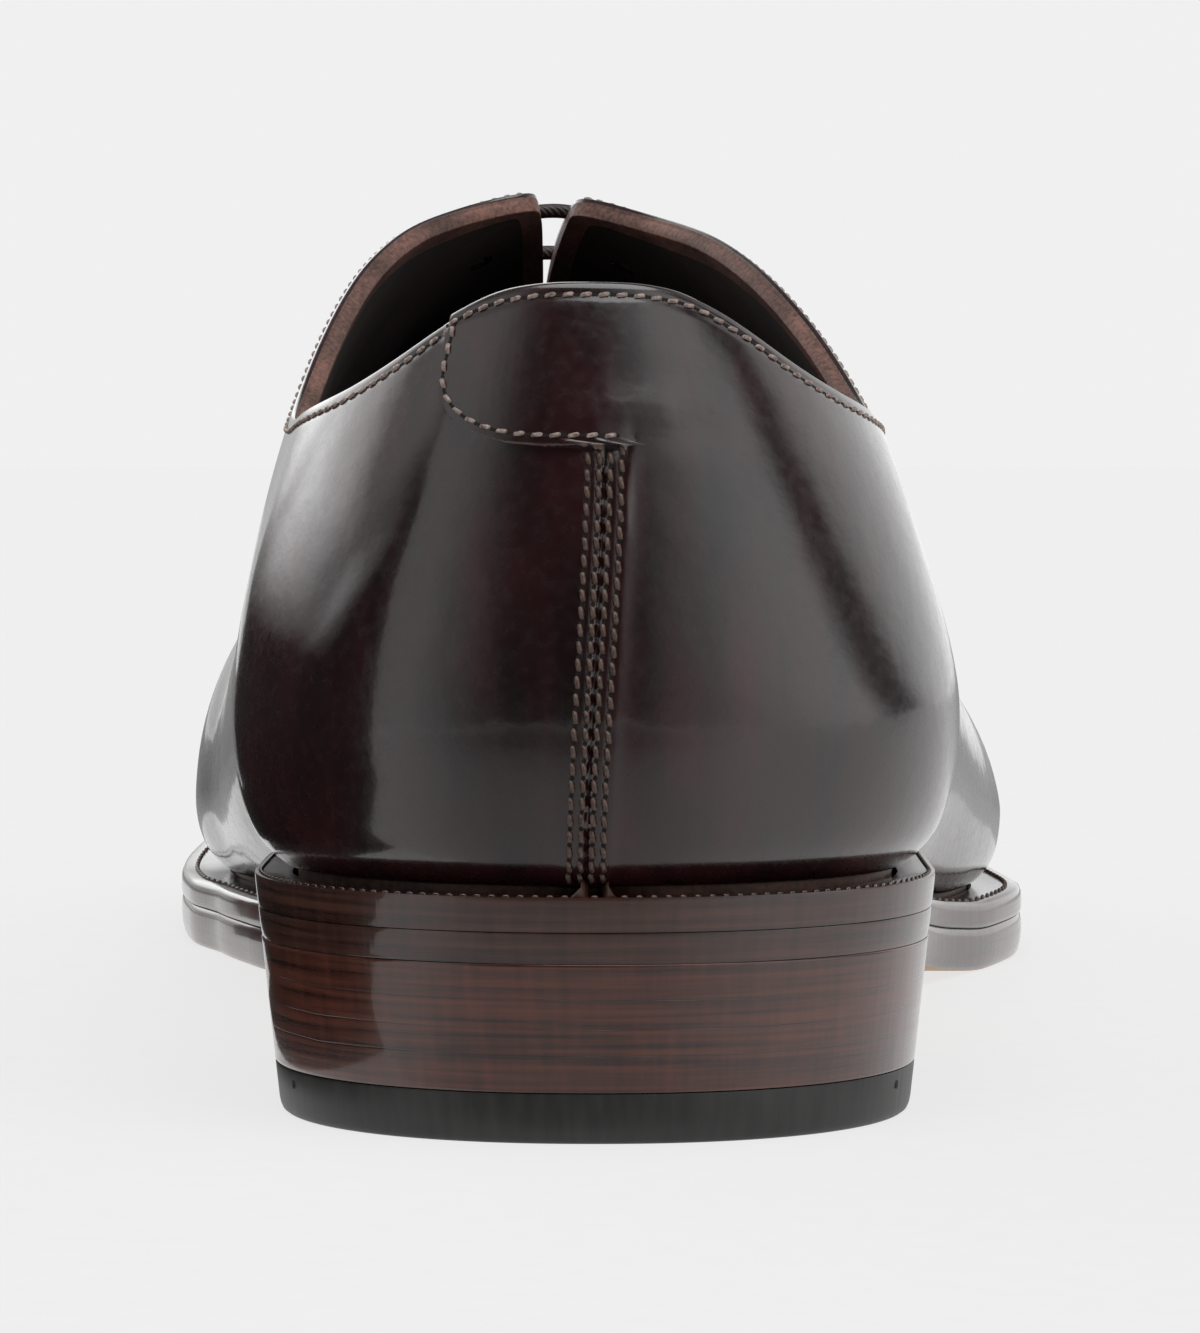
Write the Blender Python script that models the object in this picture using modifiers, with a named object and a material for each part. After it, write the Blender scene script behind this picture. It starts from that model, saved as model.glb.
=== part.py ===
"""Whole cut oxford for the right foot, built as a shoemaker builds it: a one-piece upper on a welted leather sole.

Run it with blender --background --python part.py, or from Blender's text editor.
Lengths are in metres. The floor is z = 0, the toe points to +Y, the outer (lateral) side is +X,
and the origin is the point on the floor under the middle of the heel.
"""

import math

import bmesh
import bpy
import numpy as np
from mathutils import Vector

# The shoe's main sizes
SOLE_LENGTH = 0.308  # heel back to toe tip, along the sole's edge
BALL_WIDTH = 0.111  # across the welt at the ball
HEEL_WIDTH = 0.0684  # across the heel seat
INSTEP_HEIGHT = 0.0770  # from the welt to the ridge at the top of the facings
BACK_HEIGHT = 0.0583  # from the welt to the collar, at the back seam

# Sole and heel
TOP_PIECE = 0.0049  # rubber heel tip
LIFTS = 4
LIFT = 0.0031
HEEL_LENGTH = 0.080  # heel back to the middle of the breast
BREAST_HOLLOW = 0.0025  # how far the breast is cut in at its middle
HEEL_TAPER = 0.0026  # how far the heel's wall leans in, from seat to floor
TIP_ROUND = 0.0005  # bevel round the rubber tip
OUTSOLE_HEEL = 0.0030
OUTSOLE_FORE = 0.0052
OUTSOLE_TUCK = 0.0006  # how far the outsole's lower edge leans in
TUCK_FROM = 0.55  # and from what share of its thickness
WELT = 0.0031
TOE_SPRING = 0.0105
WELT_ROUND = 0.0006  # bevel of the welt's upper edge

# Upper
WALL = 0.0024  # leather and lining together
CLEARANCE = 0.0003  # between pieces that touch
HEEL_MARGIN = 0.0014  # welt that shows outside the upper, at the heel
WAIST_MARGIN = 0.0022
FORE_MARGIN = 0.0041
NOSE_SLOPE = 0.0230  # how far the toe's top lies behind its foot
HEEL_LEAN = 0.0205  # how far the heel's top leans forward, taken up to the last's own top
THROAT_TOP = 0.0765  # the facings' top and foot, from the middle of the heel
THROAT_FOOT = 0.1400
THROAT_GAP = 0.0034  # between the facings at their top
THROAT_SLIT = 0.0004  # and where they close
THROAT_CLOSES = 0.0290  # length over which they close
THROAT_CURVE = 1.6  # power of the curve that their edges follow
FACING_CORNER = 0.0032  # step between the stations at the facings' top corner
FACING_ROUND = 0.07  # how softly the corner turns, in radians of the section

# Heel tab: the outer quarter's end, lapped over the back seam
TAB_REACH = 0.0162  # from the back seam to the tab's end, round the heel
TAB_DEPTH = 0.0150  # below the collar
TAB_CORNER = 0.0075
TAB_LEATHER = 0.0009
TAB_ROOT = 0.0029  # how far it starts on the other side of the seam
TAB_TURN = 0.6  # where the section's turn is when the reach is measured, about half the tab's height
TAB_STEPS = (14, 8)  # across and down

# Eyelets and laces
EYELETS = 5
FIRST_EYELET = 0.0085  # below the facings' top, along the sole
EYELET_PITCH = 0.0125
EYELET_EDGE = 0.0095  # from the middle of the throat
EYELET_HOLE = 0.0030
LACE = 0.0017

# Tongue and insole
TONGUE_LEATHER = 0.0016
TONGUE_TOP = 0.0860  # from the middle of the heel
TONGUE_FOOT = 0.1500
TONGUE_WIDTH = 0.0400
TONGUE_SAG = 0.0080  # how far its free end hangs below the facings
TONGUE_TILT = 0.0050  # how much lower it hangs at its outer edge
TONGUE_TAPER = 0.72  # its width at the foot, as a share of the width at its free end
TONGUE_ROOT = 0.0100  # length at the foot that lies close under the leather
TONGUE_ROUND = 0.0080  # length over which its free end's corners round off
TONGUE_CORNER = 0.18  # and how far they round in, as a share of the width
TONGUE_STEPS = (10, 12)  # across and along
INSOLE_SHOWS = 0.0025  # its height above the welt

# Mesh steps
HEEL_STEPS = 9
BODY_STEPS = 24
FACING_STEPS = 5  # extra ones across the facings' top corner
TOE_STEPS = 10
BREAST_STEPS = 8
TUCK_STEPS = 3
SIDE_STEPS = 11

# Where each change along the sole starts, and how long it takes, in shares of the length
WIDENING = (0.26, 0.34)
THICKENING = (0.26, 0.24)
WAIST_FLARE = (0.22, 0.12)
FORE_FLARE = (0.36, 0.24)
TAPER_FADE = 0.10  # length over which the heel's taper dies out ahead of the breast

HEEL_ROUND = HEEL_WIDTH / 2
HEEL_POWER = 2.15
TOE_POWER = 1.95
BODY_END = 0.690  # share of the length where the toe's rounding starts
LATERAL, MEDIAL = 1, -1

# Plan of the welt's edge. at: share of the length from the heel's back. shift: of the centre line
# to the outer side, in ball widths. half: half the width, in widths of the heel or, ahead, of the ball.
PLAN = (
    # at, shift, half
    (0.000, 0.0000, 0.500),
    (0.110, 0.0000, 0.500),
    (0.160, 0.0010, 0.499),
    (0.260, 0.0160, 0.481),
    (0.354, 0.0248, 0.417),
    (0.451, 0.0315, 0.385),
    (0.549, 0.0315, 0.438),
    (0.597, 0.0280, 0.467),
    (0.646, 0.0081, 0.491),
    (0.690, -0.0060, 0.495),
    (0.841, -0.0405, 0.495),
    (1.000, -0.0830, 0.495),
)

# Side view of the sole's underside. arch: in heights of the heel block. spring: in toe springs.
UNDERSIDE = (
    # at, arch, spring
    (0.000, 1.000, 0.00),
    (0.262, 1.000, 0.00),
    (0.300, 0.960, 0.00),
    (0.354, 0.700, 0.00),
    (0.400, 0.440, 0.00),
    (0.451, 0.200, 0.00),
    (0.500, 0.055, 0.00),
    (0.540, 0.000, 0.00),
    (0.685, 0.000, 0.00),
    (0.760, 0.000, 0.10),
    (0.841, 0.000, 0.36),
    (0.922, 0.000, 0.68),
    (1.000, 0.000, 1.00),
)

# Crest of the last above the welt. height: in instep heights. shift: to the outer side, in ball widths.
CREST = (
    # at, height, shift
    (0.000, 1.080, 0.000),
    (0.160, 1.090, 0.000),
    (0.260, 1.050, -0.023),
    (0.357, 0.992, -0.038),
    (0.403, 0.976, -0.048),
    (0.451, 0.951, -0.055),
    (0.532, 0.860, -0.062),
    (0.597, 0.752, -0.067),
    (0.662, 0.668, -0.071),
    (0.727, 0.598, -0.074),
    (0.792, 0.533, -0.076),
    (0.860, 0.474, -0.079),
    (0.930, 0.410, -0.081),
    (1.000, 0.335, -0.083),
)

# Belly of the upper, its widest line. out: beyond its foot, in heel widths. up: above the welt, in
# instep heights. power: how square the section is between the belly and the crest, 2 being an ellipse.
BELLY = (
    # at, out lateral, out medial, up lateral, up medial, power lateral, power medial
    (0.000, 0.050, 0.050, 0.185, 0.185, 1.48, 1.50),
    (0.110, 0.058, 0.057, 0.188, 0.188, 1.43, 1.58),
    (0.160, 0.063, 0.064, 0.195, 0.200, 1.42, 1.70),
    (0.247, 0.064, 0.098, 0.215, 0.252, 1.43, 1.80),
    (0.312, 0.072, 0.162, 0.240, 0.320, 1.43, 1.66),
    (0.354, 0.084, 0.192, 0.255, 0.338, 1.46, 1.67),
    (0.451, 0.084, 0.199, 0.262, 0.306, 1.50, 1.78),
    (0.549, 0.032, 0.109, 0.182, 0.221, 1.55, 1.95),
    (0.597, 0.022, 0.065, 0.143, 0.169, 1.58, 2.00),
    (0.646, 0.020, 0.046, 0.130, 0.143, 1.60, 2.05),
    (0.695, 0.022, 0.032, 0.123, 0.130, 1.66, 2.05),
    (0.850, 0.020, 0.023, 0.123, 0.123, 1.78, 1.95),
    (1.000, 0.018, 0.018, 0.117, 0.117, 1.80, 1.80),
)

# Collar line, above the welt, in back heights
COLLAR = (
    # at, lateral, medial
    (0.000, 0.982, 0.982),
    (0.004, 0.976, 0.976),
    (0.016, 0.925, 0.930),
    (0.028, 0.868, 0.876),
    (0.042, 0.828, 0.834),
    (0.060, 0.800, 0.804),
    (0.090, 0.776, 0.780),
    (0.130, 0.760, 0.764),
    (0.165, 0.762, 0.768),
    (0.195, 0.812, 0.816),
    (0.220, 0.893, 0.893),
    (0.250, 0.985, 0.986),
    (0.280, 1.067, 1.075),
    (0.312, 1.145, 1.158),
    (0.338, 1.215, 1.232),
    (0.357, 1.280, 1.300),
    (0.380, 1.400, 1.420),
    (0.430, 1.800, 1.800),
    (1.000, 1.800, 1.800),
)


def ease(x):
    """0 to 1 with no slope at either end."""
    x = min(max(x, 0.0), 1.0)
    return x * x * (3 - 2 * x)


def blend(s, zone):
    start, span = zone
    return ease((s - start) / span)


def column(rows, number):
    """A smooth function through one column of a table, which never overshoots its rows."""
    x = np.array([row[0] for row in rows], float)
    y = np.array([row[number] for row in rows], float)
    step = np.diff(x)
    slope = np.diff(y) / step
    tangent = np.zeros(len(x))
    for k in range(1, len(x) - 1):
        if slope[k - 1] * slope[k] > 0:
            a = 2 * step[k] + step[k - 1]
            b = step[k] + 2 * step[k - 1]
            tangent[k] = (a + b) / (a / slope[k - 1] + b / slope[k])

    def value(at):
        at = min(max(at, x[0]), x[-1])
        k = min(int(np.searchsorted(x, at, side="right")) - 1, len(step) - 1)
        t = (at - x[k]) / step[k]
        return float(
            y[k] * (1 + 2 * t) * (1 - t) ** 2
            + step[k] * tangent[k] * t * (1 - t) ** 2
            + y[k + 1] * t * t * (3 - 2 * t)
            + step[k] * tangent[k + 1] * t * t * (t - 1)
        )

    return value


plan_shift, plan_half = column(PLAN, 1), column(PLAN, 2)
arch, spring = column(UNDERSIDE, 1), column(UNDERSIDE, 2)
crest_height, crest_shift = column(CREST, 1), column(CREST, 2)
belly_out = {LATERAL: column(BELLY, 1), MEDIAL: column(BELLY, 2)}
belly_up = {LATERAL: column(BELLY, 3), MEDIAL: column(BELLY, 4)}
belly_power = {LATERAL: column(BELLY, 5), MEDIAL: column(BELLY, 6)}
collar = {LATERAL: column(COLLAR, 1), MEDIAL: column(COLLAR, 2)}

BACK = -HEEL_ROUND
TIP = BACK + SOLE_LENGTH
BODY_TO = BACK + BODY_END * SOLE_LENGTH
BREAST = BACK + HEEL_LENGTH


def share(y):
    """Share of the length at a distance y ahead of the middle of the heel."""
    return (y - BACK) / SOLE_LENGTH


def station(u):
    """Distance ahead of the middle of the heel at station u: heel 0 to 1, body 1 to 2, toe 2 to 3."""
    if u < 1:
        return BACK * math.cos(u * math.pi / 2) ** (2 / HEEL_POWER)
    if u < 2:
        return (u - 1) * BODY_TO
    return BODY_TO + (TIP - BODY_TO) * math.sin((u - 2) * math.pi / 2) ** (2 / TOE_POWER)


def station_at(y):
    """The body's station at a distance y ahead of the middle of the heel."""
    return 1 + y / BODY_TO


def rounding(u):
    """Share of the full width at a station, which falls to nothing at the heel's back and the toe's tip."""
    if u < 1:
        return math.sin(u * math.pi / 2) ** (2 / HEEL_POWER)
    if u < 2:
        return 1.0
    return max(math.cos((u - 2) * math.pi / 2), 0.0) ** (2 / TOE_POWER)


def local_width(s):
    return HEEL_WIDTH + (BALL_WIDTH - HEEL_WIDTH) * blend(s, WIDENING)


def sole_edge(side, u):
    """Point of the welt's edge, from above."""
    y = station(u)
    s = share(y)
    half = plan_half(s) * local_width(s) * rounding(u)
    return np.array([plan_shift(s) * BALL_WIDTH + side * half, y])


def outward(side, u):
    """Direction straight out from the welt's edge, from above."""
    if u <= 0:
        return np.array([0.0, -1.0])
    if u >= 3:
        return np.array([0.0, 1.0])
    step = 0.004
    ahead = sole_edge(side, min(u + step, 3.0)) - sole_edge(side, max(u - step, 0.0))
    normal = np.array([ahead[1], -ahead[0]]) * side
    return normal / np.linalg.norm(normal)


def underside_height(s):
    return (TOP_PIECE + LIFTS * LIFT) * arch(s) + TOE_SPRING * spring(s)


def outsole_thickness(s):
    return OUTSOLE_HEEL + (OUTSOLE_FORE - OUTSOLE_HEEL) * blend(s, THICKENING)


def outsole_top(s):
    return underside_height(s) + outsole_thickness(s)


def welt_top(s):
    return outsole_top(s) + CLEARANCE + WELT


def margin(s):
    """Width of welt outside the upper."""
    waist = HEEL_MARGIN + (WAIST_MARGIN - HEEL_MARGIN) * blend(s, WAIST_FLARE)
    return waist + (FORE_MARGIN - WAIST_MARGIN) * blend(s, FORE_FLARE)


def heel_inset(s, z):
    """How far the heel's tapered wall lies inside the seat's edge at height z. It ends at the breast."""
    seat = welt_top(0)
    return HEEL_TAPER * (1 - z / seat) * (1 - ease((s - share(BREAST)) / TAPER_FADE))


def crest_y(y):
    """The crest leans away from the heel's back and the toe's tip."""
    from_back = HEEL_LEAN * max(1 - (y - BACK) / HEEL_LENGTH, 0.0)
    to_tip = (FORE_MARGIN + NOSE_SLOPE) * max((y - BODY_TO) / (TIP - BODY_TO), 0.0) ** 2
    return y + from_back - to_tip


def bones(side, u):
    """Foot, belly and crest of the upper's outside at a station, and the section's power between them."""
    y = station(u)
    s = share(y)
    out = outward(side, u)
    ground = welt_top(s) + CLEARANCE
    foot = sole_edge(side, u) - margin(s) * out
    belly = foot + belly_out[side](s) * HEEL_WIDTH * out
    up = ground + belly_up[side](s) * INSTEP_HEIGHT
    crest = (crest_shift(s) * BALL_WIDTH, crest_y(y), ground + crest_height(s) * INSTEP_HEIGHT)
    return np.array([*foot, ground]), np.array([*belly, up]), np.array(crest), belly_power[side](s)


def above_belly(side, u, turn):
    """Point of the outside between the belly (turn 0) and the crest (turn a right angle)."""
    _, belly, crest, power = bones(side, u)
    across = max(math.cos(turn), 0.0) ** (2 / power)
    rise = math.sin(turn) ** (2 / power)
    flat = crest[:2] + (belly[:2] - crest[:2]) * across
    return np.array([*flat, belly[2] + (crest[2] - belly[2]) * rise])


def below_belly(side, u, rise):
    """Point of the outside between the foot (rise 0) and the belly (rise 1)."""
    foot, belly, _, _ = bones(side, u)
    point = foot + (belly - foot) * (1 - (1 - rise) ** 2)
    point[2] = foot[2] + (belly[2] - foot[2]) * rise
    return point


def turn_at_height(side, u, z):
    """The turn at which a station's outside has height z."""
    _, belly, crest, power = bones(side, u)
    rise = min(max((z - belly[2]) / (crest[2] - belly[2]), 0.0), 1.0)
    return math.asin(rise ** (power / 2))


def turn_at_offset(side, u, offset):
    """The turn at which a station's outside lies a distance offset from the crest."""
    _, belly, crest, power = bones(side, u)
    return math.acos(min((offset / np.linalg.norm(belly[:2] - crest[:2])) ** (power / 2), 1.0))


def collar_height(side, u):
    s = share(station(u))
    return welt_top(s) + CLEARANCE + collar[side](s) * BACK_HEIGHT


def throat_half(y):
    """Half the gap between the facings, widest at their top."""
    open_part = min(max(1 - (y - THROAT_TOP) / THROAT_CLOSES, 0.0), 1.2) ** THROAT_CURVE
    return (THROAT_SLIT + (THROAT_GAP - THROAT_SLIT) * open_part) / 2


def top_turn(side, u):
    """The turn at which the leather ends, at the collar or the throat, with the facing's corner rounded."""
    y = station(u)
    at_collar = turn_at_height(side, u, collar_height(side, u))
    if y >= THROAT_FOOT:
        return math.pi / 2
    at_throat = turn_at_offset(side, u, throat_half(y))
    gap = (at_throat - at_collar) / FACING_ROUND
    return at_throat - FACING_ROUND * math.log1p(math.exp(min(gap, 60.0)))


def outside_normal(side, u, turn):
    """Unit normal of the upper's outside."""
    step = 0.003
    along = above_belly(side, u + step, turn) - above_belly(side, u - step, turn)
    upward = above_belly(side, u, turn + step) - above_belly(side, u, turn - step)
    normal = np.cross(along, upward) * side
    return normal / np.linalg.norm(normal)


def stations():
    """Stations of the meshes from heel to toe, with one at the throat's foot and one at the heel's breast."""
    heel = [k / HEEL_STEPS for k in range(HEEL_STEPS)]
    body = [1 + k / BODY_STEPS for k in range(BODY_STEPS)]
    toe = [2 + k / TOE_STEPS for k in range(TOE_STEPS + 1)]
    fixed = [station_at(THROAT_FOOT), station_at(BREAST)]
    fixed += [station_at(THROAT_TOP + k * FACING_CORNER) for k in range(-2, FACING_STEPS - 2)]
    near = 0.35 / BODY_STEPS
    body = [u for u in body if u == 1 or all(abs(u - f) > near for f in fixed)]
    return heel + sorted(body + fixed) + toe


def shade(name, colour, roughness, metallic=0.0):
    """A plain Principled finish. The colour is linear."""
    material = bpy.data.materials.new(name)
    material.use_nodes = True
    shader = material.node_tree.nodes["Principled BSDF"]
    shader.inputs["Base Color"].default_value = (*colour, 1)
    shader.inputs["Roughness"].default_value = roughness
    shader.inputs["Metallic"].default_value = metallic
    return material


def add_object(name, mesh, material, collection, parent=None):
    item = bpy.data.objects.new(name, mesh)
    item.data.materials.append(material)
    item.parent = parent
    collection.objects.link(item)
    return item


def mesh_of(name, points, faces):
    mesh = bpy.data.meshes.new(name)
    mesh.from_pydata([tuple(p) for p in points], [], faces)
    work = bmesh.new()
    work.from_mesh(mesh)
    bmesh.ops.remove_doubles(work, verts=work.verts, dist=1e-6)
    bmesh.ops.recalc_face_normals(work, faces=work.faces)
    work.to_mesh(mesh)
    work.free()
    mesh.shade_smooth()
    mesh.set_sharp_from_angle(angle=math.radians(40))
    return mesh


def loop(us, inset, height):
    """Closed ring of points: up the lateral side to the toe and back down the medial side.
    inset and height are functions of the share of the length."""
    def point(side, u):
        flat = sole_edge(side, u) - inset(share(station(u))) * outward(side, u)
        return (*flat, height(share(flat[1])))

    return [point(LATERAL, u) for u in us] + [point(MEDIAL, u) for u in us[-2:0:-1]]


def ring_faces(rings, size, closed):
    """Side walls between rings of points that lie one after another. Closed joins the last to the first."""
    faces = []
    pairs = range(rings if closed else rings - 1)
    for r in pairs:
        a, b = r * size, ((r + 1) % rings) * size
        faces += [(a + k, a + (k + 1) % size, b + (k + 1) % size, b + k) for k in range(size)]
    return faces


def cap_faces(start, count, size):
    """A lid across one ring, in strips from the lateral side to the medial side."""
    faces = []
    for k in range(count - 1):
        left = [start + k, start + k + 1]
        right = [start + (size - k) % size, start + (size - k - 1) % size]
        quad = [left[0], left[1], right[1], right[0]]
        faces.append(tuple(dict.fromkeys(quad)))
    return faces


def slab(name, us, rings):
    """A solid between stacked rings, closed below and above."""
    size = 2 * len(us) - 2
    points = [p for ring in rings for p in ring]
    faces = ring_faces(len(rings), size, closed=False)
    faces += cap_faces(0, len(us), size) + cap_faces((len(rings) - 1) * size, len(us), size)
    return mesh_of(name, points, faces)


def band(name, us, rings):
    """A closed band whose section runs through the rings and back to the first."""
    points = [p for ring in rings for p in ring]
    return mesh_of(name, points, ring_faces(len(rings), 2 * len(us) - 2, closed=True))


def edge_inset(z_of, extra=0.0):
    """Inset of an edge that follows the heel's taper at the height that z_of gives."""
    return lambda s: heel_inset(s, z_of(s)) + extra


def outsole_mesh(us):
    low = underside_height

    def middle(s):
        return underside_height(s) + TUCK_FROM * outsole_thickness(s)

    rings = [
        loop(us, edge_inset(low, OUTSOLE_TUCK), low),
        loop(us, edge_inset(middle), middle),
        loop(us, edge_inset(outsole_top), outsole_top),
    ]
    return slab("outsole", us, rings)


def welt_mesh(us):
    def low(s):
        return outsole_top(s) + CLEARANCE

    def shoulder(s):
        return welt_top(s) - WELT_ROUND

    def inner(s):
        return margin(s) + WALL + CLEARANCE

    rings = [
        loop(us, edge_inset(low), low),
        loop(us, edge_inset(shoulder), shoulder),
        loop(us, edge_inset(welt_top, WELT_ROUND), welt_top),
        loop(us, inner, welt_top),
        loop(us, inner, low),
    ]
    return band("welt", us, rings)


def insole_mesh(us):
    def inset(s):
        return margin(s) + WALL + 2 * CLEARANCE

    def low(s):
        return outsole_top(s) + CLEARANCE

    def high(s):
        return welt_top(s) + INSOLE_SHOWS

    return slab("insole", us, [loop(us, inset, low), loop(us, inset, high)])


def heel_ring(us, height, inset):
    """The heel's outline at one height: round the back to the breast, and along the hollow breast."""
    sides = [u for u in us if station(u) < BREAST - 1e-6] + [station_at(BREAST)]

    def wall(side, u):
        s = share(station(u))
        out = outward(side, u)
        return sole_edge(side, u) - (heel_inset(s, height) + inset) * out

    lateral = [wall(LATERAL, u) for u in sides]
    medial = [wall(MEDIAL, u) for u in sides]
    front = []
    for k in range(1, BREAST_STEPS):
        t = k / BREAST_STEPS
        spot = lateral[-1] + (medial[-1] - lateral[-1]) * t
        spot[1] -= BREAST_HOLLOW * math.sin(math.pi * t) + inset
        front.append(spot)
    ends = [np.array([p[0], p[1] - inset]) for p in (lateral[-1], medial[-1])]
    outline = lateral[:-1] + [ends[0]] + front + [ends[1]] + medial[-2:0:-1]
    return [(p[0], p[1]) for p in outline]


def heel_slice(name, us, low, heights, insets):
    """One layer of the heel. heights and insets give its rings, measured up from low."""
    points, size = [], 0
    for height, inset in zip(heights, insets):
        ring = heel_ring(us, low + height, inset)
        size = len(ring)
        points += [(x, y, height) for x, y in ring]
    faces = ring_faces(len(heights), size, closed=False)
    faces.append(tuple(range(size - 1, -1, -1)))
    top = (len(heights) - 1) * size
    faces.append(tuple(range(top, top + size)))
    return mesh_of(name, points, faces)


def upper_sheet(us):
    """The upper's outside as an open sheet: two sides sewn at the back, the toe and the crest."""
    rows = TUCK_STEPS + SIDE_STEPS + 1
    points, faces = [], []
    for side in (LATERAL, MEDIAL):
        start = len(points)
        for u in us:
            end = top_turn(side, u)
            points += [below_belly(side, u, k / TUCK_STEPS) for k in range(TUCK_STEPS)]
            points += [above_belly(side, u, end * k / SIDE_STEPS) for k in range(SIDE_STEPS + 1)]
        for i in range(len(us) - 1):
            for k in range(rows - 1):
                a = start + i * rows + k
                faces.append((a, a + rows, a + rows + 1, a + 1)[::side])
    return mesh_of("upper", points, faces)


def solidify(item, thickness):
    shell = item.modifiers.new("wall", "SOLIDIFY")
    shell.thickness = thickness
    shell.offset = -1
    shell.use_even_offset = True
    shell.use_quality_normals = True
    return shell


def cut(item, cutter, name):
    boolean = item.modifiers.new(name, "BOOLEAN")
    boolean.operation = "DIFFERENCE"
    boolean.object = cutter
    return boolean


def eyelet_stations():
    return [station_at(THROAT_TOP + FIRST_EYELET + k * EYELET_PITCH) for k in range(EYELETS)]


def eyelet_cutter(collection, material):
    """Pins through every eyelet, square to the leather."""
    work = bmesh.new()
    for u in eyelet_stations():
        for side in (LATERAL, MEDIAL):
            turn = turn_at_offset(side, u, EYELET_EDGE)
            spot = Vector(above_belly(side, u, turn))
            normal = Vector(outside_normal(side, u, turn))
            pin = bmesh.ops.create_cone(
                work, cap_ends=True, segments=12, depth=8 * WALL,
                radius1=EYELET_HOLE / 2, radius2=EYELET_HOLE / 2,
            )
            bmesh.ops.rotate(
                work, verts=pin["verts"],
                matrix=Vector((0, 0, 1)).rotation_difference(normal).to_matrix(),
            )
            bmesh.ops.translate(work, verts=pin["verts"], vec=spot)
    mesh = bpy.data.meshes.new("eyelet_cutter")
    work.to_mesh(mesh)
    work.free()
    cutter = add_object("eyelet_cutter", mesh, material, collection)
    cutter.hide_render = True
    cutter.display_type = "WIRE"
    return cutter


def tab_mesh():
    """The heel tab: a patch of the upper's own outside, with a round lower corner at its end."""
    across, down = TAB_STEPS
    around = [0.0]
    us = [k / 60 for k in range(60)]
    for a, b in zip(us, us[1:]):
        step = above_belly(MEDIAL, b, TAB_TURN) - above_belly(MEDIAL, a, TAB_TURN)
        around.append(around[-1] + np.linalg.norm(step))
    bottom = collar_height(MEDIAL, 0) - TAB_DEPTH

    def place(along):
        return (MEDIAL if along >= 0 else LATERAL), float(np.interp(abs(along), around, us))

    points = []
    for j in range(down + 1):
        for i in range(across + 1):
            side, u = place(-TAB_ROOT + (TAB_REACH + TAB_ROOT) * i / across)
            brim = collar_height(side, u) - CLEARANCE
            height = brim + (bottom - brim) * j / down
            into = max(bottom + TAB_CORNER - height, 0.0)
            reach = TAB_REACH - TAB_CORNER + math.sqrt(max(TAB_CORNER**2 - into**2, 0.0))
            along = -TAB_ROOT + (reach + TAB_ROOT) * i / across
            side, u = place(along)
            turn = turn_at_height(side, u, height)
            out = outside_normal(side, max(u, 0.01), turn)
            if abs(along) < 0.001:
                out[0] = 0.0
            points.append(above_belly(side, u, turn) + (CLEARANCE + TAB_LEATHER) * out)
    faces = []
    for j in range(down):
        for i in range(across):
            a = j * (across + 1) + i
            faces.append((a, a + across + 1, a + across + 2, a + 1))
    mesh = mesh_of("heel_tab", points, faces)
    back = min(mesh.polygons, key=lambda p: p.center.y)
    if back.normal.y > 0:
        mesh.flip_normals()
    return mesh


def tongue_mesh():
    """The tongue's outer face: under the facings at its foot, and sagging away from them at its free end."""
    across, along = TONGUE_STEPS
    points = []
    for j in range(along + 1):
        y = TONGUE_FOOT + (TONGUE_TOP - TONGUE_FOOT) * j / along
        loose = ease((TONGUE_FOOT - TONGUE_ROOT - y) / (TONGUE_FOOT - TONGUE_ROOT - TONGUE_TOP))
        corner = ease(1 - (y - TONGUE_TOP) / TONGUE_ROUND)
        half = TONGUE_WIDTH / 2 * (TONGUE_TAPER + (1 - TONGUE_TAPER) * loose)
        half *= 1 - TONGUE_CORNER * corner
        u = station_at(y)
        for i in range(across + 1):
            a = 2 * i / across - 1
            side = LATERAL if a >= 0 else MEDIAL
            turn = turn_at_offset(side, u, max(abs(a) * half, CLEARANCE))
            inward = -outside_normal(side, u, turn)
            spot = above_belly(side, u, turn) + (WALL + 2 * CLEARANCE) * inward
            drop = loose * (TONGUE_SAG + TONGUE_TILT * a)
            points.append(spot - np.array([0, 0, drop]))
    faces = []
    for j in range(along):
        for i in range(across):
            a = j * (across + 1) + i
            faces.append((a, a + 1, a + across + 2, a + across + 1))
    mesh = mesh_of("tongue", points, faces)
    if sum(p.normal.z for p in mesh.polygons) < 0:
        mesh.flip_normals()
    return mesh


def lace_bar(name, u, material, collection, parent):
    """One bar of lace across the throat, lying on both facings, between two eyelets."""
    offsets = [EYELET_EDGE * k / 5 for k in (-5, -4, -3, -2, -1, 1, 2, 3, 4, 5)]
    spots = []
    for offset in offsets:
        side = LATERAL if offset > 0 else MEDIAL
        turn = turn_at_offset(side, u, abs(offset))
        normal = outside_normal(side, u, turn)
        spots.append(above_belly(side, u, turn) + (LACE / 2 + CLEARANCE) * normal)
    curve = bpy.data.curves.new(name, "CURVE")
    curve.dimensions = "3D"
    curve.bevel_depth = LACE / 2
    curve.bevel_resolution = 2
    curve.use_fill_caps = True
    origin = Vector(sum(spots) / len(spots))
    spline = curve.splines.new("POLY")
    spline.points.add(len(spots) - 1)
    for point, spot in zip(spline.points, spots):
        point.co = (*(Vector(spot) - origin), 1)
    bar = add_object(name, curve, material, collection, parent)
    bar.location = origin
    return bar


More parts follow.
